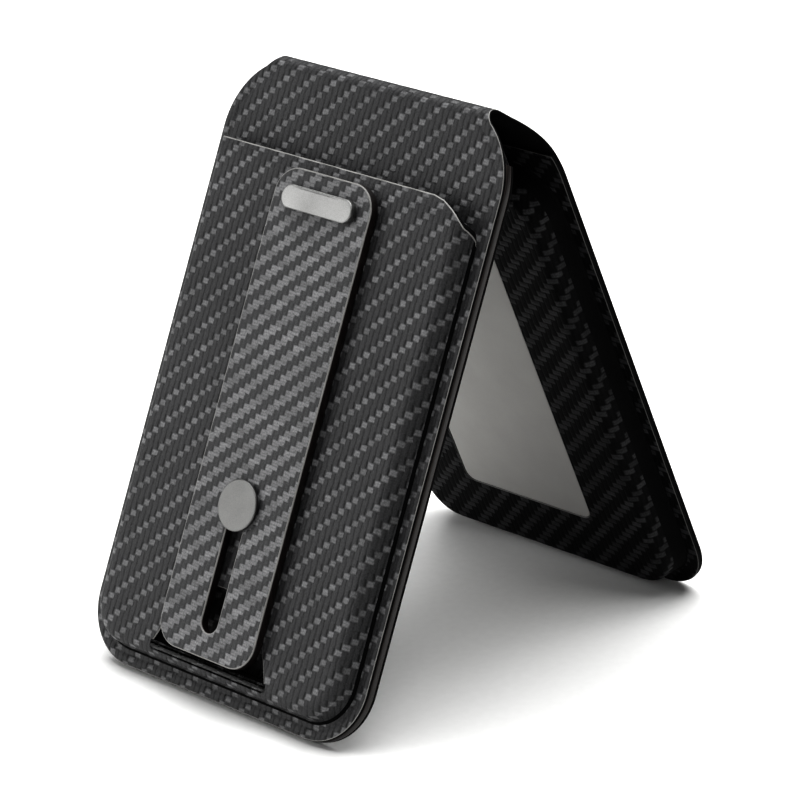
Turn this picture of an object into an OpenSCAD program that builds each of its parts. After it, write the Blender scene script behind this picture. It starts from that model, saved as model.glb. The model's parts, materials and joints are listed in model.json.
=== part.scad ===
// Folding magnetic card wallet that stands on its two leaves.
// +X runs along the fold, +Z is up, -Y is the side of the card pocket.
// The origin is the centre of the bounding box, on the surface it stands on.

/* [Leaves] */
// Width of both leaves
leaf_w = 65; // [61:0.5:80]
// Length of a leaf from the apex of the fold to its free edge
leaf_l = 104; // [101:1:126]
// Radius of the free corners
free_r = 10.5; // [6:0.5:12]
// Radius of the shoulders beside the fold
fold_r = 14; // [10:0.5:16]
// How much narrower the leaf is at the fold, on each side
fold_inset = 6.3; // [4:0.1:9]
// Thickness of each leather skin
skin_t = 0.6; // [0.5:0.1:0.8]
// Thickness of the board in the card leaf
board_t = 1.2; // [1:0.1:1.6]
// Thickness of the magnet carrier in the phone leaf
carrier_t = 1.3; // [1.2:0.1:1.8]

/* [Stand] */
// Angle between the leaves as it stands
stand_angle = 47; // [30:1:60]
// Gap between the two leaves when it is closed
close_gap = 0.4; // [0.3:0.1:1]
// Gap left round the fold for the phone leaf to swing
swing_gap = 0.3; // [0.3:0.1:0.6]

/* [Card pocket] */
// Width of a card
card_w = 54; // [53.9:0.1:54.2]
// Clearance at each side of the card
card_clear = 0.3; // [0.2:0.1:0.5]
// Space for the stack of cards
card_gap = 2.6; // [1.6:0.1:4]
// Width of the flat rim outside the pocket
rim_w = 2.5; // [2:0.1:3.5]
// How far the shoulder leans in
shoulder_in = 1.7; // [1:0.1:2.2]
// Wall of the pocket's shoulder
pocket_wall = 0.6; // [0.5:0.1:0.7]
// Stiffener under the pocket's face
panel_t = 0.5; // [0.4:0.1:0.8]
// Distance from the apex of the fold to the pocket's mouth
mouth_s = 13.3; // [12:0.1:18]
// Radius of the mouth's corners
mouth_r = 5.5; // [3:0.5:8]
// Height of the spacer rails
rail_h = 1.5; // [1:0.1:1.6]
// Half width of the thumb cut-out at its bottom and at its top
thumb_bottom = 14; // [12.5:0.1:15]
thumb_top = 8; // [6:0.1:10]
// Length of the thumb cut-out
thumb_l = 13.5; // [8:0.5:16]

/* [Strap] */
// Width of the strap
strap_w = 22.6; // [18:0.2:26]
// Thickness of the strap
strap_t = 2; // [1.8:0.1:2.6]
// Distance from the apex of the fold to the strap's fixed end
strap_s = 15; // [14.5:0.5:18]
// Distance from the strap's sliding end to the leaf's free edge
strap_tail = 7; // [6:0.5:10]
// Radius of the strap's corners
strap_r = 4.8; // [3:0.1:6]
// Length of each of the two stretches that bow out
loop_l = 21.3; // [18:0.1:22]
// Gap between the strap's stretches, and between the strap and what it slides on
strap_gap = 0.3; // [0.3:0.05:0.4]
// Width of the slot
slot_w = 3.8; // [3.4:0.1:4.4]
// Material left between the slot and the strap's sliding end
slot_tail = 4.2; // [3.5:0.1:6]

/* [Metal fittings] */
// Length, width and thickness of the bar
pill_l = 16.4; // [12:0.2:18]
pill_w = 4; // [3.4:0.1:5]
pill_t = 1.3; // [0.8:0.1:1.6]
// Distance from the strap's fixed end to the bar's centre line
pill_in = 4.9; // [4:0.1:6]
// Radius and thickness of the stud
stud_r = 4.35; // [3.6:0.05:5]
stud_t = 0.6; // [0.6:0.1:1.2]
// Clearance of the stud's neck in the slot, at each side
neck_clear = 0.3; // [0.3:0.05:0.5]
// Radius of the bar's two posts
post_r = 0.9; // [0.7:0.1:1.1]
// Clearance of posts and stud's neck in the layers that they pass through
post_clear = 0.05; // [0.03:0.01:0.1]
// Distance from the apex of the fold to the centre of the stud
stud_s = 71.1; // [70.6:0.1:72]

/* [Hinge] */
// Radius of the hinge pin
pin_r = 1.1; // [0.9:0.05:1.2]
// Running clearance of the pin in the phone leaf's knuckles
pin_clear = 0.03; // [0.02:0.01:0.08]
// Outer radius of the knuckles
knuckle_r = 2.3; // [2.1:0.05:2.3]
// Length of the whole row of knuckles
barrel_l = 46; // [36:1:48]
// Thickness of the hinge's plates
plate_t = 0.8; // [0.6:0.1:0.8]
// Length of the hinge's plates from the pin
plate_l = 22; // [18:0.5:26]
// Radius of the rivets
rivet_r = 1.2; // [0.9:0.1:1.5]

/* [Phone leaf] */
// Height of the raised block on the inner face
block_h = 5.6; // [4.6:0.1:6]
// Distance from the hinge pin to the block
block_s = 8; // [7:0.5:10]
// Width and length of the metal plate
plate_w = 30; // [26:0.5:36]
plate_h = 65; // [50:1:68]
// Distance from the apex of the fold to the plate's lower edge
plate_bottom_s = 87.5; // [84:0.5:90]
// Thickness of the metal plate
metal_t = 0.5; // [0.4:0.1:0.6]
// Outer and inner radius of the magnet ring
ring_r = 28; // [27:0.5:28]
ring_in_r = 23; // [22:0.5:24]
// Number of magnet segments in the ring
ring_count = 16; // [12:2:20]
// Distance from the hinge pin to the ring's centre
ring_s = 47; // [44:0.5:48]

/* [Hidden] */
$fn = 64;

// Depths of the card leaf's layers, counted outwards from the hinge pin's axis
lining_n = 1.4;
board_n = lining_n + skin_t;
skin_n = board_n + board_t;
rim_n = skin_n + skin_t;
panel_n = rim_n + card_gap;
cover_n = panel_n + panel_t;
face_n = cover_n + skin_t;
strap_in_n = face_n + strap_gap;
strap_n = face_n + strap_t;
cap_n = strap_n + strap_gap;

// Depths of the phone leaf's layers, counted the same way, so they are negative
block_n = lining_n - close_gap;
core_top_n = block_n - skin_t;
liner_n = block_n - block_h;
seam_n = liner_n - skin_t;
back_n = seam_n - skin_t;
carrier_n = liner_n + carrier_t;

// Places along a leaf, as distances from the hinge pin
apex = 3.2;
leaf_end = leaf_l - apex;
fold_top = 2.6;
swing_r = 6.2;
mouth = mouth_s - apex;
pocket_end = leaf_end - rim_w - 0.4;
strap_top = strap_s - apex;
strap_bottom = leaf_end - strap_tail;
stud_at = stud_s - apex;
pill_at = strap_top + pill_in;
neck_r = slot_w / 2 - neck_clear;
loop_end = stud_at - stud_r + 0.8;
loop_mid = loop_end - loop_l;
loop_start = loop_mid - loop_l;

// Half widths
half_w = leaf_w / 2;
fold_half = half_w - fold_inset;
pocket_half = half_w - rim_w;
card_half = card_w / 2 + card_clear;
hair = 0.01;
sheet_t = 0.15;

// Where the pin lies, so that both free edges stand on z = 0
front_foot = norm([lining_n, leaf_end]);
rear_foot = norm([liner_n, leaf_end]);
front_lean = atan2(lining_n, leaf_end);
rear_lean = atan2(-liner_n, leaf_end);
spread = stand_angle + front_lean + rear_lean;
front_tilt = atan2(front_foot - rear_foot * cos(spread), rear_foot * sin(spread)) - front_lean;
rear_tilt = stand_angle - front_tilt;
pin_z = front_foot * cos(front_tilt + front_lean);
front_reach = strap_n * cos(front_tilt) + strap_bottom * sin(front_tilt);
rear_reach = -back_n * cos(rear_tilt) + leaf_end * sin(rear_tilt);
pin_y = (front_reach - rear_reach) / 2;

// Both leaves are drawn closed and upright, with the pin along X and -Y outwards from the pocket
module card_leaf() {
    translate([0, pin_y, pin_z]) rotate([-front_tilt, 0, 0]) children();
}

module phone_leaf() {
    translate([0, pin_y, pin_z]) rotate([rear_tilt, 0, 0]) children();
}

// A flat layer between two depths, from an outline drawn with y as the distance from the pin
module layer(n_low, n_high) {
    translate([0, -n_low, 0]) rotate([90, 0, 0]) linear_extrude(n_high - n_low) mirror([0, 1, 0])
        children();
}

// A rounded rectangle made of boxes and discs, so that its corners stay exact
module rounded(x0, y0, x1, y1, r, fn = 48) {
    translate([x0 + r, y0]) square([x1 - x0 - 2 * r, y1 - y0]);
    translate([x0, y0 + r]) square([x1 - x0, y1 - y0 - 2 * r]);
    for (x = [x0 + r, x1 - r], y = [y0 + r, y1 - r])
        translate([x, y]) circle(r, $fn = fn);
}

// A raised shell's solid: it leans in from its outline at n_low to a smaller one at n_high
module raised(half, y0, y1, r, n_low, n_high, lean) {
    hull() {
        layer(n_low, n_low + hair) rounded(-half, y0, half, y1, r, 32);
        layer(n_high - hair, n_high)
            rounded(-half + lean, y0 + lean, half - lean, y1 - lean, r - lean, 32);
    }
}

// Outline of a leaf from a given height down: the shoulders draw in to the fold
module leaf_outline(top) {
    shoulder_y = sqrt(pow(fold_r, 2) - pow(fold_r - fold_inset, 2)) - apex;
    difference() {
        union() {
            rounded(-half_w, shoulder_y + fold_r, half_w, leaf_end, free_r);
            translate([-half_w, shoulder_y])
                square([leaf_w, leaf_end - shoulder_y - 2 * free_r]);
            translate([fold_r - half_w, -apex]) square([leaf_w - 2 * fold_r, fold_r + apex]);
            for (side = [-1, 1])
                translate([side * (half_w - fold_r), shoulder_y]) circle(fold_r);
        }
        translate([-leaf_w, top - 2 * fold_r]) square([2 * leaf_w, 2 * fold_r]);
    }
}

// Row of knuckles: even places belong to the card leaf, odd ones to the phone leaf
knuckle_count = 5;
knuckle_pitch = barrel_l / knuckle_count;

module knuckles(first, bore_r) {
    for (i = [first:2:knuckle_count - 1])
        translate([(i + 0.5) * knuckle_pitch - barrel_l / 2, 0, 0]) rotate([0, 90, 0])
            difference() {
                cylinder(r = knuckle_r, h = knuckle_pitch - swing_gap, center = true);
                cylinder(r = bore_r, h = knuckle_pitch, center = true);
            }
}

// Hinge plate with a finger to each of its knuckles; side is 1 on the card leaf, -1 on the other
module hinge_plate(side, first, bore_r) {
    n_low = side > 0 ? board_n : -board_n - plate_t;
    difference() {
        union() {
            layer(n_low, n_low + plate_t) {
                rounded(-barrel_l / 2, fold_top, barrel_l / 2, plate_l, 2);
                translate([-barrel_l / 2, fold_top]) square([barrel_l, 4]);
                for (i = [first:2:knuckle_count - 1])
                    translate([i * knuckle_pitch - barrel_l / 2 + swing_gap / 2, 0])
                        square([knuckle_pitch - swing_gap, fold_top + 1]);
            }
            knuckles(first, bore_r);
        }
        rotate([0, 90, 0]) cylinder(r = bore_r, h = 2 * barrel_l, center = true);
        rivets(-leaf_w, leaf_w, rivet_r + post_clear);
    }
}

rivet_pitch = barrel_l / 5;

module rivets(n_low, n_high, r) {
    layer(n_low, n_high)
        for (x = [-1.8, -0.6, 0.6, 1.8])
            translate([x * rivet_pitch, plate_l - 4]) circle(r);
}

// Two discs near the free edge hold the leaves together when they are closed
catch_r = 3;
catch_x = 12;
catch_in = 9;

module catch_discs(n_low, n_high, r) {
    layer(n_low, n_high)
        for (x = [-catch_x, catch_x]) translate([x, leaf_end - catch_in]) circle(r);
}

/* Card leaf */

module base_leather() {
    color("#26262a") card_leaf() layer(skin_n, rim_n) leaf_outline(-apex);
}

module shield_outline() {
    rounded(-26, plate_l + 3, 26, leaf_end - 13, 3);
}

module base_board() {
    color("#3a3029") card_leaf() difference() {
        layer(board_n, skin_n) leaf_outline(fold_top);
        layer(board_n - 1, board_n + plate_t)
            translate([-barrel_l / 2 - post_clear, 0])
                square([barrel_l + 2 * post_clear, plate_l + post_clear]);
        layer(skin_n - sheet_t, skin_n + 1) shield_outline();
        rivets(0, leaf_w, rivet_r + post_clear);
        catch_discs(0, leaf_w, catch_r + post_clear);
    }
}

module base_lining() {
    color("#1c1c1f") card_leaf() layer(lining_n, board_n) leaf_outline(fold_top);
}

module shield_sheet() {
    color("#9a9da1") card_leaf() layer(skin_n - sheet_t, skin_n) shield_outline();
}

module catch_magnets_front() {
    color("#b8babd") card_leaf() catch_discs(board_n, skin_n, catch_r);
}

module hinge_spine() {
    spine_r = rim_n - lining_n;
    color("#222226") card_leaf() translate([-fold_half, -lining_n, apex]) rotate([90, 0, 90])
        linear_extrude(2 * fold_half) difference() {
            sector(spine_r, 40, 180);
            circle(spine_r - skin_t);
        }
}

// A slice of a disc between two angles
module sector(r, from, to) {
    intersection() {
        circle(r);
        polygon([[0, 0], for (a = [from:(to - from) / 4:to]) 2 * r * [cos(a), sin(a)]]);
    }
}

module side_rail(side) {
    x = side > 0 ? card_half : -card_half - rail_w;
    color("#2b2b2e") card_leaf() layer(rim_n, rim_n + rail_h)
        translate([x, mouth + mouth_r]) square([rail_w, rail_end - mouth - mouth_r]);
}

// The rails fill the pocket from the card to the leaning wall of the shoulder
rail_clear = 0.07;
wall_in = shoulder_in * rail_h / (cover_n - rim_n) + pocket_wall + rail_clear;
rail_w = pocket_half - wall_in - card_half;
rail_end = pocket_end - free_r;
rail_stop_w = 1.2;
rail_stop = pocket_end - wall_in - rail_stop_w;

module bottom_rail(side) {
    from = thumb_bottom + 0.5;
    to = pocket_half - free_r + rim_w;
    x = side > 0 ? from : -to;
    color("#2b2b2e") card_leaf() layer(rim_n, rim_n + rail_h)
        translate([x, rail_stop]) square([to - from, rail_stop_w]);
}

module rail_left() { side_rail(-1); }

module rail_right() { side_rail(1); }

module rail_bottom_left() { bottom_rail(-1); }

module rail_bottom_right() { bottom_rail(1); }

// Outline of the thumb cut-out, under the strap's sliding end
module thumb_outline() {
    low = pocket_end - shoulder_in - 0.7;
    polygon([[-thumb_top, low - thumb_l], [thumb_top, low - thumb_l],
        [thumb_bottom, low], [-thumb_bottom, low]]);
}

// Holes for the bar's posts, at one radius, through the layers between two depths
module post_places(n_low, n_high, r) {
    layer(n_low, n_high)
        for (side = [-1, 1]) translate([side * pill_l / 3, pill_at]) circle(r);
}

module neck_place(n_low, n_high, r) {
    layer(n_low, n_high) translate([0, stud_at]) circle(r);
}

washer_r = stud_r - 0.8;
// Clearance of the stiffener inside the pocket's shoulder
panel_clear = 0.2;

module pocket_board() {
    inset = shoulder_in + pocket_wall + panel_clear;
    half = pocket_half - inset;
    color("#332c27") card_leaf() difference() {
        layer(panel_n, cover_n)
            rounded(-half, mouth + 1, half, pocket_end - inset, free_r - rim_w - inset + panel_clear);
        layer(panel_n - 1, face_n) thumb_outline();
        layer(panel_n - 1, face_n) pill_outline(pill_l + 2 * post_clear, pill_w + 2 * post_clear);
        neck_place(panel_n - 1, face_n, washer_r + post_clear);
    }
}

module pocket_cover() {
    r = free_r - rim_w;
    color("#2a2a2e") card_leaf() difference() {
        intersection() {
            raised(pocket_half, mouth - 4 * r, pocket_end, r, rim_n, face_n, shoulder_in);
            layer(rim_n, face_n)
                rounded(-pocket_half, mouth, pocket_half, pocket_end + mouth_r, mouth_r);
        }
        raised(pocket_half - pocket_wall, mouth - 5 * r, pocket_end - pocket_wall,
            r - pocket_wall, rim_n - hair, cover_n, shoulder_in);
        layer(rim_n, face_n + 1) thumb_outline();
        post_places(rim_n, face_n + 1, post_r + post_clear);
        neck_place(rim_n, face_n + 1, neck_r + post_clear);
    }
}

/* Strap and its fittings */

module strap_outline(from, to) {
    intersection() {
        rounded(-strap_w / 2, strap_top, strap_w / 2, strap_bottom, strap_r);
        translate([-strap_w, from]) square([2 * strap_w, to - from]);
    }
}

module slot_outline() {
    low = strap_bottom - slot_tail - slot_w / 2;
    high = stud_at - 0.5;
    translate([-slot_w / 2, high]) square([slot_w, low - high]);
    for (y = [high, low]) translate([0, y]) circle(slot_w / 2);
}

module strap_tab() {
    color("#3b3b40") card_leaf() difference() {
        layer(face_n, strap_n) strap_outline(strap_top, loop_start - strap_gap / 2);
        post_places(face_n - 1, strap_n + 1, post_r + post_clear);
    }
}

module strap_upper() {
    color("#404046") card_leaf() layer(strap_in_n, strap_n)
        strap_outline(loop_start + strap_gap / 2, loop_mid - strap_gap / 2);
}

module strap_lower() {
    color("#3b3b40") card_leaf() layer(strap_in_n, strap_n)
        strap_outline(loop_mid + strap_gap / 2, loop_end - strap_gap / 2);
}

module strap_end() {
    color("#404046") card_leaf() layer(strap_in_n, strap_n) difference() {
        strap_outline(loop_end + strap_gap / 2, strap_bottom);
        slot_outline();
    }
}

module pill_outline(length, width) {
    translate([0, pill_at]) {
        square([length - width, width], center = true);
        for (side = [-1, 1]) translate([side * (length - width) / 2, 0]) circle(width / 2);
    }
}

module pill_bar() {
    color("#77777a") card_leaf() layer(strap_n, strap_n + pill_t) pill_outline(pill_l, pill_w);
}

module pill_posts() {
    color("#8a8a8c") card_leaf() post_places(panel_n, strap_n, post_r);
}

module pill_backplate() {
    color("#8a8a8c") card_leaf() difference() {
        layer(panel_n, cover_n) pill_outline(pill_l, pill_w);
        post_places(panel_n - 1, face_n, post_r + post_clear);
    }
}

module stud_cap() {
    color("#77777a") card_leaf() neck_place(cap_n, cap_n + stud_t, stud_r);
}

module stud_post() {
    color("#8a8a8c") card_leaf() neck_place(panel_n, cap_n, neck_r);
}

module stud_washer() {
    color("#8a8a8c") card_leaf() difference() {
        neck_place(panel_n, cover_n, washer_r);
        neck_place(panel_n - 1, face_n, neck_r + post_clear);
    }
}

/* Hinge */

module hinge_plate_front() {
    color("#5c5c60") card_leaf() hinge_plate(1, 0, pin_r);
}

module hinge_plate_rear() {
    color("#55555a") phone_leaf() hinge_plate(-1, 1, pin_r + pin_clear);
}

module hinge_pin() {
    color("#a8a8ac") card_leaf() rotate([0, 90, 0])
        cylinder(r = pin_r, h = barrel_l, center = true);
}

module hinge_rivets_front() {
    color("#b0b0b4") card_leaf() rivets(board_n, skin_n, rivet_r);
}

module hinge_rivets_rear() {
    color("#b0b0b4") phone_leaf() rivets(carrier_n, core_top_n, rivet_r);
}

/* Phone leaf */

// The phone leaf's layers start where they clear the fold as it swings
rear_top = sqrt(pow(swing_r, 2) - pow(liner_n, 2));

module stand_skin() {
    color("#26262a") phone_leaf() layer(back_n, seam_n) leaf_outline(rear_top);
}

module ring_place(n_low, n_high, r_in, r_out) {
    layer(n_low, n_high) translate([0, ring_s]) difference() {
        circle(r_out, $fn = 96);
        circle(r_in, $fn = 96);
    }
}

// Bar magnet under the ring
module align_outline(grow) {
    w = 6 + 2 * grow;
    translate([-w / 2, ring_s + ring_r + 4 - grow]) square([w, 13 + 2 * grow]);
}

// How far the block's inside stands in from its outline, at a depth
function block_inset(n) =
    skin_t + post_clear + shoulder_in * (n - liner_n) / (core_top_n - liner_n);

module stand_board() {
    inset = block_inset(carrier_n);
    color("#3a3029") phone_leaf() difference() {
        layer(liner_n, carrier_n)
            rounded(inset - pocket_half, block_s + inset, pocket_half - inset,
                pocket_end - inset, block_r - inset);
        ring_place(liner_n - 1, carrier_n + 1, ring_in_r - post_clear, ring_r + post_clear);
        layer(liner_n - 1, carrier_n + 1) align_outline(post_clear);
    }
}

shunt_t = 0.3;

module magnet_ring() {
    pitch = 360 / ring_count;
    gap = 0.6;
    color("#b8babd") phone_leaf() difference() {
        ring_place(liner_n, carrier_n - shunt_t, ring_in_r, ring_r);
        for (i = [0:ring_count / 2 - 1])
            translate([0, 0, -ring_s]) rotate([0, (i + 0.5) * pitch, 0])
                translate([-leaf_w, -carrier_n - 1, -gap / 2])
                    cube([2 * leaf_w, carrier_t + 2, gap]);
    }
}

module shunt_ring() {
    color("#8e9094") phone_leaf() ring_place(carrier_n - shunt_t, carrier_n, ring_in_r, ring_r);
}

module align_magnet() {
    color("#b8babd") phone_leaf() layer(liner_n, carrier_n) align_outline(0);
}

module stand_liner() {
    color("#232327") phone_leaf() layer(seam_n, liner_n) leaf_outline(rear_top);
}

block_r = free_r - rim_w;

// The metal plate's outline, grown by a clearance
module plate_outline(grow) {
    low = plate_bottom_s - apex;
    rounded(-plate_w / 2 - grow, low - plate_h - grow, plate_w / 2 + grow, low + grow, 2 + grow);
}

module block_cover() {
    color("#2a2a2e") phone_leaf() difference() {
        raised(pocket_half, block_s, pocket_end, block_r, liner_n, block_n, shoulder_in);
        raised(pocket_half - skin_t, block_s + skin_t, pocket_end - skin_t, block_r - skin_t,
            liner_n - hair, core_top_n, shoulder_in);
        layer(block_n - 2 * skin_t, block_n + 1) plate_outline(post_clear);
        layer(-board_n - plate_t - 0.2, -board_n + 0.2)
            translate([-barrel_l / 2 - 0.2, 0]) square([barrel_l + 0.4, plate_l]);
    }
}

catch_n = core_top_n - board_t;

module block_core() {
    inset = block_inset(carrier_n);
    color("#303034") phone_leaf() difference() {
        raised(pocket_half - inset, block_s + inset, pocket_end - inset, block_r - inset,
            carrier_n, core_top_n, block_inset(core_top_n) - inset);
        layer(-board_n - plate_t, -board_n)
            translate([-barrel_l / 2 - post_clear, 0])
                square([barrel_l + 2 * post_clear, plate_l + post_clear]);
        rivets(liner_n, block_n, rivet_r + post_clear);
        catch_discs(catch_n, block_n, catch_r + post_clear);
    }
}

module metal_plate() {
    color("#7c7a78") phone_leaf() layer(core_top_n, core_top_n + metal_t) plate_outline(0);
}

module catch_magnets_rear() {
    color("#b8babd") phone_leaf() catch_discs(catch_n, core_top_n, catch_r);
}

base_leather();
base_board();
base_lining();
shield_sheet();
rail_left();
rail_right();
rail_bottom_left();
rail_bottom_right();
pocket_board();
pocket_cover();
catch_magnets_front();
hinge_spine();
strap_tab();
strap_upper();
strap_lower();
strap_end();
pill_bar();
pill_posts();
pill_backplate();
stud_cap();
stud_post();
stud_washer();
hinge_plate_front();
hinge_plate_rear();
hinge_pin();
hinge_rivets_front();
hinge_rivets_rear();
stand_skin();
stand_board();
stand_liner();
block_cover();
block_core();
metal_plate();
magnet_ring();
shunt_ring();
align_magnet();
catch_magnets_rear();
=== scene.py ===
"""Dressed model of a folding magnetic card wallet that stands on its two leaves."""

import json
import logging
import math
from dataclasses import dataclass, field
from enum import Enum
from typing import Callable, Optional, Sequence, Union

import bmesh
import bpy
import numpy as np
from mathutils import Matrix, Vector
from mathutils.geometry import tessellate_polygon


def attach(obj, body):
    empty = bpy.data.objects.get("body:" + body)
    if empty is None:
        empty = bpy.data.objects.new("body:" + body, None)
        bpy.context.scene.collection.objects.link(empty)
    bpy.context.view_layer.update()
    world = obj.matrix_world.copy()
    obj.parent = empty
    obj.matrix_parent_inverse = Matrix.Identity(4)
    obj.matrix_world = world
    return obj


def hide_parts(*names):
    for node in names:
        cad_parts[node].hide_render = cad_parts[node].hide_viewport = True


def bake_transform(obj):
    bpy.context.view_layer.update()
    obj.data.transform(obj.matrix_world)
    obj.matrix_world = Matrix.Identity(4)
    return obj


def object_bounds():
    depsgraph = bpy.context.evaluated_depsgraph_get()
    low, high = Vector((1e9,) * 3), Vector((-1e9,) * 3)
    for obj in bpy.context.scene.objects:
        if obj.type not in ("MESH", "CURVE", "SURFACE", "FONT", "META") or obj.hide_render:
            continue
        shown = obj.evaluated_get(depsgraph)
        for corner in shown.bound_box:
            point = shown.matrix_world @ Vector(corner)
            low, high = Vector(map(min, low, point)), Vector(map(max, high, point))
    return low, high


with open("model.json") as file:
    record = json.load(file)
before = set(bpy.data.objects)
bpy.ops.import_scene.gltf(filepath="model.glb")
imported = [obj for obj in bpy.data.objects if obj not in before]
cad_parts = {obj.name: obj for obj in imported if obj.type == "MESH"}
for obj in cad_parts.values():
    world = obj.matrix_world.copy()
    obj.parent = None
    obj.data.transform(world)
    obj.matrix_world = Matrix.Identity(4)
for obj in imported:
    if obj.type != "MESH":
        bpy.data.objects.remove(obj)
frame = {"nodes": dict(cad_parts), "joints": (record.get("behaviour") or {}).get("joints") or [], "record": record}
CAD_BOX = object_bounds()

log = logging.getLogger("wallet")
MM = 0.001
UV_NAME = "unrolled"
WANDER = 0.35  # how far the threads wander, as a share of their spacing
FLOAT_EDGE = 0.34  # how soft a float's ends are, in threads
Feed = Union[bpy.types.NodeSocket, float, tuple]
Profile = Sequence[tuple[float, float]]


# ---------------------------------------------------------------- helpers


def linear(code: str, alpha: float = 1.0) -> tuple[float, float, float, float]:
    """Turn an sRGB hex colour into linear light.

    Args:
        code: six hex digits, with or without a leading hash.
        alpha: the fourth number.

    Returns:
        The linear red, green, blue and alpha.
    """
    digits = code.lstrip("#")
    values = [int(digits[i : i + 2], 16) / 255 for i in (0, 2, 4)]
    light = [v / 12.92 if v <= 0.04045 else ((v + 0.055) / 1.055) ** 2.4 for v in values]
    return (light[0], light[1], light[2], alpha)


def add(tree: bpy.types.NodeTree, kind: str, feeds: Optional[dict] = None, **settings: object) -> bpy.types.Node:
    """Add one node with its settings and what feeds it.

    Args:
        tree: the node tree.
        kind: the node's type.
        feeds: input name or number to a socket, which is linked, or a value.
        settings: the node's own properties.

    Returns:
        The new node.
    """
    node = tree.nodes.new(kind)
    for name, value in settings.items():
        setattr(node, name, value)
    for key, value in (feeds or {}).items():
        if isinstance(value, bpy.types.NodeSocket):
            tree.links.new(value, node.inputs[key])
        else:
            node.inputs[key].default_value = value
    return node


@dataclass(frozen=True)
class Leaf:
    """Axes of one leaf: places are x, distance down from the hinge pin, and depth outwards from the pin's axis."""

    pin: tuple[float, float, float]
    down: tuple[float, float, float]
    out: tuple[float, float, float]

    def place(self, points: np.ndarray) -> np.ndarray:
        """Turn places in millimetres into points in metres.

        Args:
            points: rows of x, distance down and depth.

        Returns:
            Rows of x, y and z in the shared frame.
        """
        flat = np.asarray(points, float) * MM
        across = flat[:, 0:1] * np.array([1.0, 0.0, 0.0])
        return np.array(self.pin) + across + flat[:, 1:2] * np.array(self.down) + flat[:, 2:3] * np.array(self.out)

    def point(self, x: float, s: float, n: float) -> Vector:
        """Return one place as a point in metres."""
        return Vector(self.place(np.array([[x, s, n]]))[0])

    def extent(self, *nodes: str) -> tuple[np.ndarray, np.ndarray]:
        """Measure CAD nodes in this leaf's millimetres.

        Args:
            nodes: names of CAD nodes.

        Returns:
            The lowest and the highest x, distance down and depth.
        """
        rows = []
        for name in nodes:
            mesh = frame["nodes"][name].data
            co = np.zeros(len(mesh.vertices) * 3)
            mesh.vertices.foreach_get("co", co)
            rel = co.reshape(-1, 3) - np.array(self.pin)
            rows.append(np.stack([rel[:, 0], rel @ np.array(self.down), rel @ np.array(self.out)], 1) / MM)
        allrows = np.concatenate(rows)
        return allrows.min(0), allrows.max(0)


def joint(name: str) -> dict:
    """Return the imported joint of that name."""
    return next(j for j in frame["joints"] if j["name"] == name)


def card_leaf() -> Leaf:
    """Find the card leaf's axes from the fold and the strap's joints."""
    pin = Vector(joint("fold")["pos_m"])
    down = (Vector(joint("strap_ankle")["pos_m"]) - Vector(joint("strap_root")["pos_m"])).normalized()
    out = Vector((0, down.z, -down.y))
    return Leaf(tuple(pin), tuple(down), tuple(out))


def phone_leaf() -> Leaf:
    """Find the phone leaf's axes from the fold and the face that the phone lies on."""
    pin = Vector(joint("fold")["pos_m"])
    face = next(m for m in frame["record"]["mounts"] if m["name"] == "phone_face")
    out = -Vector(face["axis"]).normalized()
    down = Vector((0, -out.z, out.y))
    return Leaf(tuple(pin), tuple(down), tuple(out))


# ---------------------------------------------------------------- outlines


def arc(cx: float, cy: float, r: float, start: float, end: float, count: int = 14) -> list[tuple[float, float]]:
    """Sample an arc.

    Args:
        cx: centre across.
        cy: centre down the leaf.
        r: radius.
        start: first angle in degrees.
        end: last angle in degrees.
        count: number of steps.

    Returns:
        The points from start to end.
    """
    angles = np.radians(np.linspace(start, end, count + 1))
    return [(cx + r * math.cos(a), cy + r * math.sin(a)) for a in angles]


def tidy(points: Sequence[tuple[float, float]], hole: bool = False, step: float = 0.0) -> np.ndarray:
    """Drop doubled points, turn the outline the right way round, and split long sides.

    Args:
        points: the outline's corners.
        hole: whether the outline bounds a hole.
        step: longest side left unsplit, or 0 for no splitting.

    Returns:
        The outline, with its material on the left.
    """
    kept = [np.array(points[0], float)]
    for p in points[1:]:
        if np.linalg.norm(np.array(p) - kept[-1]) > 1e-4:
            kept.append(np.array(p, float))
    if np.linalg.norm(kept[0] - kept[-1]) < 1e-4:
        kept.pop()
    rows = np.array(kept)
    turned = np.roll(rows, -1, 0)
    area = np.sum(rows[:, 0] * turned[:, 1] - turned[:, 0] * rows[:, 1])
    if (area < 0) != hole:
        rows = rows[::-1]
    if step:
        split: list[np.ndarray] = []
        for a, b in zip(rows, np.roll(rows, -1, 0)):
            parts = max(1, int(math.ceil(np.linalg.norm(b - a) / step)))
            split += [a + (b - a) * i / parts for i in range(parts)]
        rows = np.array(split)
    return rows


def normals(rows: np.ndarray, closed: bool = True) -> np.ndarray:
    """Outward mitred normals of an outline.

    Args:
        rows: the outline's points.
        closed: whether the last point joins the first.

    Returns:
        One normal for each point, long enough to keep an offset's sides parallel.
    """
    edge = np.roll(rows, -1, 0) - rows
    if not closed:
        edge[-1] = edge[-2]
    edge /= np.linalg.norm(edge, axis=1, keepdims=True)
    after = np.stack([edge[:, 1], -edge[:, 0]], 1)
    before = np.roll(after, 1, 0)
    if not closed:
        before[0] = after[0]
    return (after + before) / (1 + np.sum(after * before, 1, keepdims=True)).clip(0.3)


def rounded(x0: float, y0: float, x1: float, y1: float, r: float, count: int = 14) -> list[tuple[float, float]]:
    """Outline a rounded rectangle.

    Args:
        x0: lowest x.
        y0: lowest distance down.
        x1: highest x.
        y1: highest distance down.
        r: corner radius.
        count: steps in each corner.

    Returns:
        The outline's points.
    """
    return (
        arc(x1 - r, y0 + r, r, -90, 0, count)
        + arc(x1 - r, y1 - r, r, 0, 90, count)
        + arc(x0 + r, y1 - r, r, 90, 180, count)
        + arc(x0 + r, y0 + r, r, 180, 270, count)
    )


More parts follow.
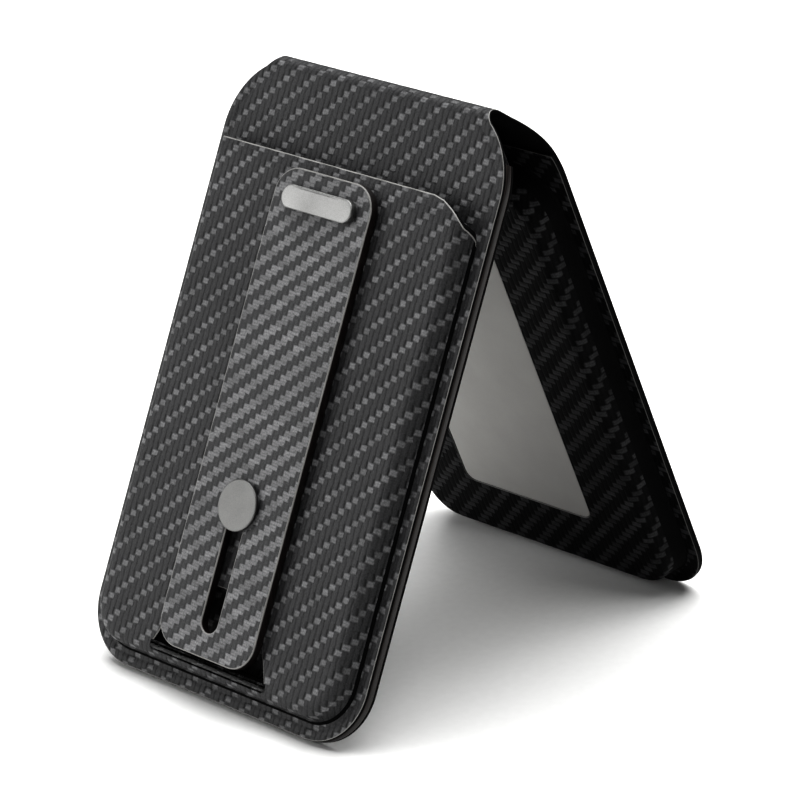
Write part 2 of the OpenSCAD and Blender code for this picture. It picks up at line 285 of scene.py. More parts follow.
def unrolled_length(profile: Profile) -> list[float]:
    """Distance along a profile from each point to its last."""
    steps = [math.dist(a, b) for a, b in zip(profile, profile[1:])] + [0.0]
    return [sum(steps[i:]) for i in range(len(profile))]


# ---------------------------------------------------------------- solids


@dataclass
class Flat:
    """A closed solid drawn in a leaf's millimetres, with a pattern map that unrolls over its edges."""

    bm: bmesh.types.BMesh = field(default_factory=bmesh.new)

    def __post_init__(self) -> None:
        """Add the pattern map's layer."""
        self.uv = self.bm.loops.layers.uv.new(UV_NAME)

    def face(self, verts: Sequence[bmesh.types.BMVert], places: Sequence[Sequence[float]], finish: int) -> None:
        """Add a face.

        Args:
            verts: its corners.
            places: the pattern map at each corner, in millimetres.
            finish: number of its material.
        """
        if len(set(verts)) < len(verts):
            return
        try:
            made = self.bm.faces.new(verts)
        except ValueError:
            return
        made.smooth = True
        made.material_index = finish
        for loop, place in zip(made.loops, places):
            loop[self.uv].uv = (place[0], place[1])

    def row(self, rows: np.ndarray, depth: float) -> list[bmesh.types.BMVert]:
        """Add a row of points at one depth."""
        return [self.bm.verts.new((x, y, depth)) for x, y in rows]

    def strip(self, a: list, b: list, ua: np.ndarray, ub: np.ndarray, finish: int, closed: bool = True) -> None:
        """Join two rows with quads.

        Args:
            a: first row.
            b: second row.
            ua: pattern map along the first row.
            ub: pattern map along the second row.
            finish: number of the material.
            closed: whether the rows are rings.
        """
        count = len(a)
        for i in range(count if closed else count - 1):
            j = (i + 1) % count
            self.face((a[i], a[j], b[j], b[i]), (ua[i], ua[j], ub[j], ub[i]), finish)

    def cap(self, rings: Sequence[list], finish: int) -> None:
        """Fill the flat area inside the first ring and outside the others.

        Args:
            rings: rows of points, the outer one first.
            finish: number of the material.
        """
        flat = [v for ring in rings for v in ring]
        for tri in tessellate_polygon([[v.co.copy() for v in ring] for ring in rings]):
            corners = [flat[i] for i in tri]
            self.face(corners, [(v.co.x, v.co.y) for v in corners], finish)

    def slab(
        self, outline: np.ndarray, holes: Sequence[np.ndarray], profile: Profile, finishes: Sequence[int]
    ) -> "Flat":
        """Build a plate whose edges follow a profile.

        Args:
            outline: the outer outline.
            holes: outlines of its holes.
            profile: inset and depth of each ring, from the underside round the edge to the top.
            finishes: material of the underside, of each band between rings, and of the top.

        Returns:
            Itself.
        """
        reach = unrolled_length(profile)
        low, high = [], []
        last = profile[-1][0]
        for loop in [outline, *holes]:
            push = normals(loop)
            unit = push / np.linalg.norm(push, axis=1, keepdims=True)
            rows = [self.row(loop - push * d, n) for d, n in profile]
            maps = [loop - push * d + unit * (reach[i] - (last - d)) for i, (d, _) in enumerate(profile)]
            for i in range(len(rows) - 1):
                self.strip(rows[i], rows[i + 1], maps[i], maps[i + 1], finishes[i + 1])
            low.append(rows[0])
            high.append(rows[-1])
        self.cap(low, finishes[0])
        self.cap(high, finishes[-1])
        return self

    def cut(self, stations: Sequence[float], axis: int = 1) -> "Flat":
        """Cut the faces at places along one axis, so that they can bend there."""
        normal = [0.0, 0.0, 0.0]
        normal[axis] = 1.0
        for at in stations:
            where = [0.0, 0.0, 0.0]
            where[axis] = at
            geometry = self.bm.verts[:] + self.bm.edges[:] + self.bm.faces[:]
            bmesh.ops.bisect_plane(self.bm, geom=geometry, dist=1e-5, plane_co=where, plane_no=normal)
        return self

    def between(self, start: float, end: float) -> "Flat":
        """Copy the stretch between two distances down the leaf, closed at its ends."""
        copy = Flat.__new__(Flat)
        copy.bm = self.bm.copy()
        copy.uv = copy.bm.loops.layers.uv[UV_NAME]
        for at, side in ((start, -1.0), (end, 1.0)):
            geometry = copy.bm.verts[:] + copy.bm.edges[:] + copy.bm.faces[:]
            done = bmesh.ops.bisect_plane(
                copy.bm, geom=geometry, dist=1e-5, plane_co=(0, at, 0), plane_no=(0, side, 0), clear_outer=True
            )
            rim = [e for e in done["geom_cut"] if isinstance(e, bmesh.types.BMEdge)]
            for edge in rim:
                edge.smooth = False
            if rim:
                bmesh.ops.holes_fill(copy.bm, edges=rim, sides=0)
        return copy

    def piece(
        self, name: str, place: Callable[[np.ndarray], np.ndarray], materials: Sequence[bpy.types.Material]
    ) -> bpy.types.Object:
        """Turn the drawing into an object in the shared frame.

        Args:
            name: the piece's name.
            place: turns rows of millimetre places into metres.
            materials: its materials, by number.

        Returns:
            The linked object.
        """
        bmesh.ops.recalc_face_normals(self.bm, faces=self.bm.faces[:])
        mesh = bpy.data.meshes.new(name)
        self.bm.to_mesh(mesh)
        self.bm.free()
        co = np.zeros(len(mesh.vertices) * 3)
        mesh.vertices.foreach_get("co", co)
        mesh.vertices.foreach_set("co", place(co.reshape(-1, 3)).ravel())
        mesh.update()
        signed = sum(p.area * p.normal.dot(p.center - Vector(frame["joints"][0]["pos_m"])) for p in mesh.polygons)
        if signed < 0:
            mesh.flip_normals()
        for material in materials:
            mesh.materials.append(material)
        made = bpy.data.objects.new(name, mesh)
        bpy.context.scene.collection.objects.link(made)
        return made


def settle(
    piece: bpy.types.Object, body: Union[str, tuple], stands_for: Sequence[str] = ()
) -> bpy.types.Object:
    """Fix a piece to its body, or only bake in its placement, and hide the nodes that it stands for.

    Args:
        piece: the finished object.
        body: a body's name; given two bodies with the start and end of a bend instead, these are not used, and the
            piece stays unattached with its placement baked in.
        stands_for: CAD nodes that it replaces.

    Returns:
        The piece.
    """
    if isinstance(body, str):
        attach(piece, body)
    else:
        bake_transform(piece)
    if stands_for:
        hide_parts(*stands_for)
    log.info("%s: %d faces, replaces %s", piece.name, len(piece.data.polygons), ", ".join(stands_for) or "nothing")
    return piece


# ---------------------------------------------------------------- finishes


def twill_group() -> bpy.types.NodeTree:
    """Build the two-over two-under weave as a group that reads millimetres.

    Returns:
        A group that gives the weft floats, their crown, the warp's crown, a chance number for each float, the ribs
        along it and the gap beside it.
    """
    group = bpy.data.node_groups.new("two-two twill", "ShaderNodeTree")
    for name, kind, way in (
        ("Place", "NodeSocketVector", "INPUT"),
        ("Threads per mm", "NodeSocketFloat", "INPUT"),
        ("Float length", "NodeSocketFloat", "INPUT"),
        ("Step", "NodeSocketFloat", "INPUT"),
        ("Block", "NodeSocketFloat", "OUTPUT"),
        ("Row", "NodeSocketFloat", "OUTPUT"),
        ("Column", "NodeSocketFloat", "OUTPUT"),
        ("Chance", "NodeSocketFloat", "OUTPUT"),
        ("Fibre", "NodeSocketFloat", "OUTPUT"),
        ("Gap", "NodeSocketFloat", "OUTPUT"),
    ):
        group.interface.new_socket(name, in_out=way, socket_type=kind)
    inside = add(group, "NodeGroupInput")
    scaled = add(group, "ShaderNodeVectorMath", {0: inside.outputs[0], "Scale": inside.outputs[1]}, operation="SCALE")
    split = add(group, "ShaderNodeSeparateXYZ", {0: scaled.outputs[0]})
    u, v = split.outputs[0], split.outputs[1]
    length = inside.outputs[2]
    soft = FLOAT_EDGE
    early = add(group, "ShaderNodeMath", {0: length, 1: soft}, operation="SUBTRACT").outputs[0]
    lower = add(group, "ShaderNodeMath", {0: v, 1: inside.outputs[3]}, operation="ADD").outputs[0]
    # Each row of weft floats starts one thread further left than the row above it
    starts = []
    for line in (v, lower):
        row = add(group, "ShaderNodeMath", {0: line}, operation="FLOOR").outputs[0]
        along = add(group, "ShaderNodeMath", {0: u, 1: row}, operation="ADD").outputs[0]
        place = add(group, "ShaderNodeMath", {0: along, 1: 4.0}, operation="FLOORED_MODULO").outputs[0]
        starts.append((row, along, place))
    near = starts[0][2]
    left = add(group, "ShaderNodeMapRange", {0: near, 1: 0.0, 2: soft}, interpolation_type="SMOOTHSTEP").outputs[0]
    block = left
    for _, _, place in starts:
        right = add(
            group, "ShaderNodeMapRange", {0: place, 1: early, 2: length, 3: 1.0, 4: 0.0},
            interpolation_type="SMOOTHSTEP",
        )
        block = add(group, "ShaderNodeMath", {0: block, 1: right.outputs[0]}, operation="MULTIPLY").outputs[0]
    crowns = []
    for value, power in ((v, 2.6), (u, 3.0)):
        part = add(group, "ShaderNodeMath", {0: value}, operation="FRACT").outputs[0]
        centred = add(group, "ShaderNodeMath", {0: part, 1: 2.0, 2: -1.0}, operation="MULTIPLY_ADD").outputs[0]
        size = add(group, "ShaderNodeMath", {0: centred}, operation="ABSOLUTE").outputs[0]
        steep = add(group, "ShaderNodeMath", {0: size, 1: power}, operation="POWER").outputs[0]
        crowns.append(add(group, "ShaderNodeMath", {0: 1.0, 1: steep}, operation="SUBTRACT", use_clamp=True).outputs[0])
    turn = add(group, "ShaderNodeMath", {0: starts[0][1], 1: 0.25}, operation="MULTIPLY").outputs[0]
    turn = add(group, "ShaderNodeMath", {0: turn}, operation="FLOOR").outputs[0]
    key = add(group, "ShaderNodeCombineXYZ", {0: starts[0][0], 1: turn})
    chance = add(group, "ShaderNodeTexWhiteNoise", {"Vector": key.outputs[0]}, noise_dimensions="3D")
    # A tow's filaments run along it; they are drawn as two ribs to a thread, which is far coarser than the real ones
    ribs = add(group, "ShaderNodeMath", {0: v, 1: 4 * math.pi}, operation="MULTIPLY").outputs[0]
    ribs = add(group, "ShaderNodeMath", {0: ribs}, operation="COSINE").outputs[0]
    fibre = add(group, "ShaderNodeMath", {0: ribs, 1: -1.0}, operation="MULTIPLY").outputs[0]
    # The gap just before each float marks where the material paints a shadow
    gap = add(group, "ShaderNodeMapRange", {0: near, 1: 3.45, 2: 3.95, 3: 0.0, 4: 1.0}, interpolation_type="SMOOTHSTEP")
    add(
        group, "NodeGroupOutput",
        {0: block, 1: crowns[0], 2: crowns[1], 3: chance.outputs["Value"], 4: fibre, 5: gap.outputs[0]},
    )
    return group


@dataclass(frozen=True)
class Finish:
    """A surface finish; each kind writes its own nodes."""

    name: str

    def start(self) -> tuple[bpy.types.Material, bpy.types.NodeTree, bpy.types.Node]:
        """Make an empty material.

        Returns:
            The material, its tree and its surface shader, which is already joined to the output.
        """
        material = bpy.data.materials.new(self.name)
        material.use_nodes = True
        tree = material.node_tree
        tree.nodes.clear()
        shader = add(tree, "ShaderNodeBsdfPrincipled")
        add(tree, "ShaderNodeOutputMaterial", {"Surface": shader.outputs[0]})
        return material, tree, shader

    def build(self) -> bpy.types.Material:
        """Make the material."""
        raise NotImplementedError


@dataclass(frozen=True)
class TwillLeather(Finish):
    """Polyurethane leather embossed with a carbon twill: pale weft floats on a dark warp, with a soft gloss; the
    floats' paleness is partly their sheen painted into the colour.
    """

    weft: str = "#5a5a5b"
    warp: str = "#2f2f30"
    # The gap colour is a painted shadow beside each float
    gap: str = "#0b0b0c"
    pitch: float = 1.207  # thread spacing in mm
    length: float = 1.5  # how far a float shows, in threads
    step: float = 0.0  # how much sooner a float's far end steps, in threads
    emboss: float = 0.18  # depth of the embossing in mm
    rough: float = 0.42
    specular: float = 0.35
    # The darkening towards the rows' edges is painted shade round a painted crest highlight
    rows: float = 0.9  # how dark the line between two rows is
    group: Optional[bpy.types.NodeTree] = None

    def build(self) -> bpy.types.Material:
        """Make the material.

        Returns:
            The leather, patterned from the piece's own map in millimetres.
        """
        material, tree, shader = self.start()
        place = add(tree, "ShaderNodeUVMap", uv_map=UV_NAME).outputs[0]
        coords = add(tree, "ShaderNodeTexCoord").outputs["Object"]
        # The embossed threads wander by about a tenth of a millimetre
        wander = add(tree, "ShaderNodeTexNoise", {"Vector": place, "Scale": 0.6, "Detail": 1.0})
        middle = (0.5, 0.5, 0.5)
        centred = add(tree, "ShaderNodeVectorMath", {0: wander.outputs["Color"], 1: middle}, operation="SUBTRACT")
        reach = WANDER * self.pitch
        shift = add(tree, "ShaderNodeVectorMath", {0: centred.outputs[0], "Scale": reach}, operation="SCALE")
        moved = add(tree, "ShaderNodeVectorMath", {0: place, 1: shift.outputs[0]}, operation="ADD")
        weave = add(tree, "ShaderNodeGroup", node_tree=self.group)
        tree.links.new(moved.outputs[0], weave.inputs[0])
        weave.inputs[1].default_value = 1 / self.pitch
        weave.inputs[2].default_value = self.length
        weave.inputs[3].default_value = self.step
        block, row, column, chance, fibre, gap = weave.outputs
        level = add(tree, "ShaderNodeMapRange", {0: chance, 3: 0.74, 4: 1.26})
        cloud = add(tree, "ShaderNodeTexNoise", {"Vector": coords, "Scale": 70.0, "Detail": 3.0})
        soft = add(tree, "ShaderNodeMapRange", {0: cloud.outputs["Fac"], 1: 0.3, 2: 0.7, 3: 0.88, 4: 1.12})
        grain = add(tree, "ShaderNodeTexNoise", {"Vector": coords, "Scale": 3600.0, "Detail": 2.0})
        fleck = add(tree, "ShaderNodeMapRange", {0: grain.outputs["Fac"], 1: 0.25, 2: 0.75, 3: 0.6, 4: 1.4})
        # Each float is palest at its crown and darker towards the rows' edges: a painted crest highlight
        edge = add(tree, "ShaderNodeMapRange", {0: row, 3: 1.0 - self.rows, 4: 1.0}, interpolation_type="SMOOTHSTEP")
        top = add(tree, "ShaderNodeMath", {0: block, 1: edge.outputs[0]}, operation="MULTIPLY")
        ribbed = add(tree, "ShaderNodeMath", {0: fibre, 1: 0.12, 2: 1.0}, operation="MULTIPLY_ADD")
        bright = add(tree, "ShaderNodeMath", {0: level.outputs[0], 1: ribbed.outputs[0]}, operation="MULTIPLY")
        # The weft's pale colour is partly the film's pattern and partly the floats' sheen, painted into the colour
        weft, warp = linear(self.weft)[:3], linear(self.warp)[:3]
        pale = add(tree, "ShaderNodeVectorMath", {0: weft, "Scale": bright.outputs[0]}, operation="SCALE")
        # The warp is paler at each thread's crown and darker at its sides: painted shading of its round
        warp_crown_highlight = add(tree, "ShaderNodeMapRange", {0: column, 3: 0.72, 4: 1.06})
        deep = add(tree, "ShaderNodeVectorMath", {0: warp, "Scale": warp_crown_highlight.outputs[0]}, operation="SCALE")
        # The warp darkens to the gap colour just before each float: a painted shadow
        gap_shadow_share = add(tree, "ShaderNodeMath", {0: gap, 1: 0.85}, operation="MULTIPLY")
        ground = add(
            tree, "ShaderNodeMix", {0: gap_shadow_share.outputs[0], 6: deep.outputs[0], 7: linear(self.gap)}, data_type="RGBA"
        )
        woven = add(
            tree, "ShaderNodeMix", {0: top.outputs[0], 6: ground.outputs[2], 7: pale.outputs[0]}, data_type="RGBA"
        )
        shade = add(tree, "ShaderNodeMath", {0: soft.outputs[0], 1: fleck.outputs[0]}, operation="MULTIPLY")
        colour = add(tree, "ShaderNodeVectorMath", {0: woven.outputs[2], "Scale": shade.outputs[0]}, operation="SCALE")
        # The weft floats stand over the warp, with the film's own grain of about 0.3 mm on both
        low = add(tree, "ShaderNodeMath", {0: column, 1: 0.35}, operation="MULTIPLY")
        high = add(tree, "ShaderNodeMath", {0: row, 1: 0.55, 2: 0.45}, operation="MULTIPLY_ADD")
        raised = add(tree, "ShaderNodeMix", {0: block, 2: low.outputs[0], 3: high.outputs[0]})
        relief = add(
            tree, "ShaderNodeMath", {0: grain.outputs["Fac"], 1: 0.3, 2: raised.outputs[0]}, operation="MULTIPLY_ADD"
        )
        bump = add(
            tree, "ShaderNodeBump", {"Strength": 1.0, "Distance": self.emboss * MM, "Height": relief.outputs[0]}
        )
        rough = add(tree, "ShaderNodeMapRange", {0: block, 3: self.rough + 0.12, 4: self.rough})
        tree.links.new(colour.outputs[0], shader.inputs["Base Color"])
        tree.links.new(rough.outputs[0], shader.inputs["Roughness"])
        tree.links.new(bump.outputs[0], shader.inputs["Normal"])
        shader.inputs["Specular IOR Level"].default_value = self.specular
        shader.inputs["IOR"].default_value = 1.5
        return material


@dataclass(frozen=True)
class Grained(Finish):
    """A plain surface with two close colours in a cloud, a fine grain and one gloss."""

    light: str = "#2a2a2c"
    dark: str = "#151516"
    grain: float = 0.25  # grain size in mm
    depth: float = 0.03  # grain depth in mm
    rough: float = 0.5
    metallic: float = 0.0
    cloud: float = 6.0  # size of the colour's variation in mm
    stretch: tuple[float, float, float] = (1.0, 1.0, 1.0)
    coat: float = 0.0
    specular: float = 0.5

    def build(self) -> bpy.types.Material:
        """Make the material.

        Returns:
            The finish, patterned from the object's own coordinates.
        """
        material, tree, shader = self.start()
        coords = add(tree, "ShaderNodeTexCoord").outputs["Object"]
        drawn = add(tree, "ShaderNodeMapping", {"Vector": coords, "Scale": self.stretch}).outputs[0]
        cloud = add(tree, "ShaderNodeTexNoise", {"Vector": coords, "Scale": 1 / (self.cloud * MM), "Detail": 3.0})
        speck = add(tree, "ShaderNodeTexNoise", {"Vector": drawn, "Scale": 1 / (self.grain * MM), "Detail": 3.0})
        blend = add(
            tree, "ShaderNodeMath", {0: speck.outputs["Fac"], 1: 0.6, 2: 0.0}, operation="MULTIPLY_ADD"
        )
        both = add(
            tree, "ShaderNodeMath", {0: cloud.outputs["Fac"], 1: 0.4, 2: blend.outputs[0]}, operation="MULTIPLY_ADD"
        )
        spread = add(tree, "ShaderNodeMapRange", {0: both.outputs[0], 1: 0.3, 2: 0.7})
        colour = add(
            tree, "ShaderNodeMix", {0: spread.outputs[0], 6: linear(self.dark), 7: linear(self.light)}, data_type="RGBA"
        )
        gloss = add(
            tree, "ShaderNodeMapRange",
            {0: speck.outputs["Fac"], 1: 0.2, 2: 0.8, 3: self.rough - 0.06, 4: self.rough + 0.06},
        )
        bump = add(
            tree, "ShaderNodeBump", {"Strength": 1.0, "Distance": self.depth * MM, "Height": speck.outputs["Fac"]}
        )
        tree.links.new(colour.outputs[2], shader.inputs["Base Color"])
        tree.links.new(gloss.outputs[0], shader.inputs["Roughness"])
        tree.links.new(bump.outputs[0], shader.inputs["Normal"])
        shader.inputs["Metallic"].default_value = self.metallic
        shader.inputs["Coat Weight"].default_value = self.coat
        shader.inputs["Specular IOR Level"].default_value = self.specular
        return material


class Dress(Enum):
    """The finishes that the wallet's pieces choose from."""

    TWILL = "embossed carbon twill polyurethane leather"
    SHADED_INNER_TWILL = "embossed carbon twill polyurethane leather, matt"
    STRAP = "fine twill polyurethane leather"
    CUT_EDGE_HIGHLIGHT = "burnished cut leather edge, painted highlight"
    DIMMED_EDGE_HIGHLIGHT = "cut leather edge, painted highlight dimmed by painted shade"
    EDGE_PAINT = "dark brown edge paint"
    LINING = "microfibre suede lining"
    BLASTED = "bead-blasted zinc alloy"
    TURNED = "turned and blasted zinc alloy"
    PLATE = "bead-blasted stainless steel"
    STEEL = "drawn mild steel"
    MAGNET = "nickel-plated neodymium"
    BOARD = "pressed fibre board"
    PLASTIC = "moulded ABS"
    FLOOR = "matt studio card"


class Wardrobe:
    """Builds each finish once and hands it out."""

    def __init__(self) -> None:
        """Write down the finishes."""
        group = twill_group()
        finishes = {
            # Embossed film over a dark base: rows of pale floats climb to the right between dark threads; their
            # paleness is partly painted sheen
            Dress.TWILL: TwillLeather(Dress.TWILL.value, group=group),
            # The same film on the phone leaf, nearly matt: its floats are longer and hardly shine; its colours are
            # darkened as painted shade for the shade between the leaves
            Dress.SHADED_INNER_TWILL: TwillLeather(
                Dress.SHADED_INNER_TWILL.value, weft="#2e2e2f", warp="#0a0a0b", gap="#020202", length=2.0, specular=0.1,
                rough=0.6,
                group=group,
            ),
            # A finer film with wide floats: reads as pale steps with small dark ones between them; the paleness is
            # partly painted sheen and the darkest bits are painted shadow
            Dress.STRAP: TwillLeather(
                Dress.STRAP.value, weft="#636364", warp="#353536", gap="#262627", pitch=1.052, length=2.8, step=0.45,
                emboss=0.06, rows=0.12, group=group,
            ),
            # Burnished raw edge: a thin pale line round each cut outline; its paleness is the rounded edge's painted
            # highlight
            Dress.CUT_EDGE_HIGHLIGHT: Grained(
                Dress.CUT_EDGE_HIGHLIGHT.value, light="#8c8b89", dark="#6c6b69", grain=0.4, depth=0.01, rough=0.38
            ),
            # Cut edge on the phone leaf: a thin line only a little paler than the leather, its painted highlight dimmed
            # by painted shade
            Dress.DIMMED_EDGE_HIGHLIGHT: Grained(
                Dress.DIMMED_EDGE_HIGHLIGHT.value, light="#4c4b4a", dark="#333231", grain=0.4, depth=0.01, rough=0.45
            ),
            # Brushed-on acrylic edge paint: nearly black with a brown cast and a low gloss
            Dress.EDGE_PAINT: Grained(
                Dress.EDGE_PAINT.value, light="#1b1412", dark="#0e0b0a", grain=0.5, depth=0.02, rough=0.42
            ),
            # Short suede pile: soft black without gloss
            Dress.LINING: Grained(
                Dress.LINING.value, light="#0f0f10", dark="#060606", grain=0.18, depth=0.08, rough=0.85, specular=0.1
            ),
            # Blasted casting: even grey with a fine sparkle
            Dress.BLASTED: Grained(
                Dress.BLASTED.value, light="#949493", dark="#737372", grain=0.16, depth=0.02, rough=0.45, metallic=1.0
            ),
            # The same alloy turned before it was blasted: a shade darker
            Dress.TURNED: Grained(
                Dress.TURNED.value, light="#747473", dark="#5f5f5e", grain=0.16, depth=0.02, rough=0.45, metallic=1.0
            ),
            # Blasted sheet: a shade darker and warmer than the castings
            Dress.PLATE: Grained(
                Dress.PLATE.value, light="#aeadab", dark="#a2a19f", grain=0.16, depth=0.02, rough=0.65, metallic=1.0,
                cloud=8.0
            ),
            # Drawn wire and stamped sheet: faint lines along the drawing direction
            Dress.STEEL: Grained(
                Dress.STEEL.value, light="#9a9a9c", dark="#6e6e71", grain=0.3, depth=0.01, rough=0.35, metallic=1.0,
                stretch=(0.08, 1.0, 1.0),
            ),
            # Nickel plating: bright and smooth
            Dress.MAGNET: Grained(
                Dress.MAGNET.value, light="#c4c2bd", dark="#a9a7a2", grain=0.6, depth=0.004, rough=0.22, metallic=1.0
            ),
            # Pressed fibre: dark brown with visible fibres
            Dress.BOARD: Grained(
                Dress.BOARD.value, light="#2b221c", dark="#15110e", grain=0.35, depth=0.04, rough=0.75
            ),
            # Moulded plastic: even black with a light texture
            Dress.PLASTIC: Grained(
                Dress.PLASTIC.value, light="#1e1e20", dark="#161617", grain=0.25, depth=0.02, rough=0.55
            ),
            # Matt card: flat and pale
            Dress.FLOOR: Grained(
                Dress.FLOOR.value, light="#f4f4f3", dark="#efefee", grain=1.5, depth=0.01, rough=0.9, cloud=80.0
            ),
        }
        self.made = {dress: finish.build() for dress, finish in finishes.items()}

    def __getitem__(self, dress: Dress) -> bpy.types.Material:
        """Return one finish."""
        return self.made[dress]

    def set(self, *dresses: Dress) -> list[bpy.types.Material]:
        """Return several finishes in order."""
        return [self.made[d] for d in dresses]


# ---------------------------------------------------------------- sub-assemblies


@dataclass
class Wrap:
    """The one sheet of leather that runs down the card leaf, over the fold and down the phone leaf's back."""

    card: Leaf
    phone: Leaf
    dress: Wardrobe
    half: float = 32.5
    free_r: float = 10.5
    shoulder_r: float = 14.0
    skin: float = 0.6
    groove_in: float = 1.95  # distance of the pressed line from the edge
    groove_w: float = 0.42
    groove_t: float = 0.16
    ridge_r: float = 2.4
    dip: float = 1.6  # how much narrower the fold is at its top, on each side

    def __post_init__(self) -> None:
        """Measure the CAD leaves and lay out the path over the fold."""
        low, high = self.card.extent("base_leather")
        self.apex, self.end = low[1], high[1]
        self.neck = -self.card.extent("hinge_spine")[0][0]
        self.card_n = high[2]
        low, high = self.phone.extent("stand_skin")
        self.rear_top, self.back_n = low[1], low[2]
        self.half = high[0]
        self.shoulder_s = self.apex + math.sqrt(self.shoulder_r**2 - (self.neck - self.half + self.shoulder_r) ** 2)
        self._lay_path()

    def _lay_path(self) -> None:
        """Sample the outer surface over the fold: a round ridge, then an easy curve to the phone leaf's back."""
        down, out = np.array(self.card.down), np.array(self.card.out)
        start = np.array(self.card.point(0, self.apex, self.card_n)) / MM
        centre = start - out * self.ridge_r
        angles = np.radians(np.linspace(0, 105, 22))
        ridge = [centre + self.ridge_r * (math.cos(a) * out - math.sin(a) * down) for a in angles]
        leave = -math.sin(angles[-1]) * out - math.cos(angles[-1]) * down
        goal = np.array(self.phone.point(0, self.rear_top, self.back_n)) / MM
        arrive = np.array(self.phone.down)
        span = np.linalg.norm(goal - ridge[-1])
        curve = []
        for t in np.linspace(0, 1, 25)[1:]:
            h = (2 * t**3 - 3 * t**2 + 1, t**3 - 2 * t**2 + t, -2 * t**3 + 3 * t**2, t**3 - t**2)
            curve.append(h[0] * ridge[-1] + h[1] * span * leave + h[2] * goal + h[3] * span * arrive)
        self.path = np.array(ridge + curve)
        steps = np.linalg.norm(np.diff(self.path, axis=0), axis=1)
        self.run = np.concatenate([[0.0], np.cumsum(steps)])
        tangent = np.gradient(self.path, self.run, axis=0)
        tangent /= np.linalg.norm(tangent, axis=1, keepdims=True)
        self.normal = np.stack([np.zeros(len(tangent)), -tangent[:, 2], tangent[:, 1]], 1)
        if self.normal[0] @ out < 0:
            self.normal = -self.normal

    def side(self, start: float = 0.0) -> list[tuple[float, float]]:
        """Outline the right half of a leaf, from the fold to the middle of its free edge.

        Args:
            start: distance down the leaf at which the outline starts.

        Returns:
            Points from the fold down.
        """
        centre = self.half - self.shoulder_r
        first = -math.degrees(math.asin((self.shoulder_s - start) / self.shoulder_r))
        return (
            arc(centre, self.shoulder_s, self.shoulder_r, first, 0, 22)
            + arc(self.half - self.free_r, self.end - self.free_r, self.free_r, 0, 90, 22)
        )

    def outline(self, start: float) -> np.ndarray:
        """Outline a whole leaf that starts at one distance from the pin."""
        right = self.side(start)
        return tidy(right + [(-x, s) for x, s in reversed(right)], step=6.0)

    def place(self, points: np.ndarray) -> np.ndarray:
        """Lay the unrolled sheet on the two leaves and over the fold.

        Args:
            points: rows of x, unrolled distance and height above the sheet's underside.

        Returns:
            Points in metres.
        """
        x, length, height = points[:, 0], points[:, 1], points[:, 2]
        over = self.apex - length
        made = self.card.place(np.stack([x, length, self.card_n - self.skin + height], 1))
        rear_s = self.rear_top + over - self.run[-1]
        rear = self.phone.place(np.stack([x, rear_s, self.back_n + self.skin - height], 1))
        bent = np.stack([np.interp(over, self.run, self.path[:, i]) for i in range(3)], 1)
        lean = np.stack([np.interp(over, self.run, self.normal[:, i]) for i in range(3)], 1)
        lean /= np.linalg.norm(lean, axis=1, keepdims=True)
        bent = (bent + lean * (height - self.skin)[:, None]) * MM
        bent[:, 0] = x * MM
        made = np.where((over > 0)[:, None], bent, made)
        return np.where((over > self.run[-1])[:, None], rear, made)

    def unrolled(self) -> np.ndarray:
        """Outline the whole sheet, unrolled."""
        top = self.run[-1]
        reach = self.rear_top - self.apex
        right = self.side(self.apex)
        rear: list[tuple[float, float]] = []
        centre = self.half - self.shoulder_r
        ridge = top - reach
        # The shoulders run on over the ridge, so the fold is narrowest at its top
        for t in np.linspace(0, 1, 15)[1:-1]:
            rear.append((self.neck - self.dip * math.sin(math.pi * t), self.apex - ridge * t))
        for s in np.linspace(self.apex, self.shoulder_s, 40):
            width = centre + math.sqrt(max(0.0, self.shoulder_r**2 - (self.shoulder_s - s) ** 2))
            rear.append((width, self.apex - ridge - (s - self.apex)))
        rear += [
            (x, self.apex - ridge - (s - self.apex))
            for x, s in arc(self.half - self.free_r, self.end - self.free_r, self.free_r, 0, 90, 22)
        ]
        right = list(reversed(rear)) + right
        return tidy(right + [(-x, s) for x, s in reversed(right)], step=6.0)

    def build(self) -> None:
        """Make the sheet, the phone leaf's inner leather and the card leaf's lining."""
        t, g, w = self.skin, self.groove_in, self.groove_w
        profile = [(1.2, 0.0), (0.18, 0.0), (0.04, 0.05), (0.0, 0.16), (0.0, t - 0.2), (0.05, t - 0.07), (0.18, t)]
        low, near = t - self.groove_t, 0.3 * w
        press = [(g - w, t), (g - near, low), (g + near, low), (g + w, t), (g + w + 0.4, t)]
        # The band over the rounded top edge takes the pale cut-edge finish: a painted highlight
        finishes = [1, 1, 1, 1, 1, 1, 2, 0, 0, 0, 0, 0, 0]
        sheet = Flat().slab(self.unrolled(), [], profile + press, finishes)
        stations = list(self.apex - np.linspace(0.0, self.run[-1], 34))
        sheet.cut(stations)
        piece = sheet.piece("wrap_leather", self.place, self.dress.set(Dress.TWILL, Dress.LINING, Dress.CUT_EDGE_HIGHLIGHT))
        # The bend's start and end are measured level; settle does not use them
        start = self.card.point(0, self.apex, self.card_n)
        end = self.phone.point(0, self.rear_top, self.back_n)
        end = (start[0], end[1], start[2])
        settle(
            piece, ("card_leaf", "stand_leaf", start, end),
            ("base_leather", "hinge_spine", "stand_skin"),
        )
        self._inner_leather()
        self._lining()

    def _inner_leather(self) -> None:
        """Make the leather on the phone leaf's inner side, whose rim shows round the block."""
        low, high = self.phone.extent("stand_liner")
        a, b = low[2], high[2]
        profile = [
            (1.2, a), (0.18, a), (0.04, a + 0.05), (0.0, a + 0.16), (0.0, b - 0.2), (0.05, b - 0.07), (0.18, b),
            (0.6, b), (1.0, b),
        ]
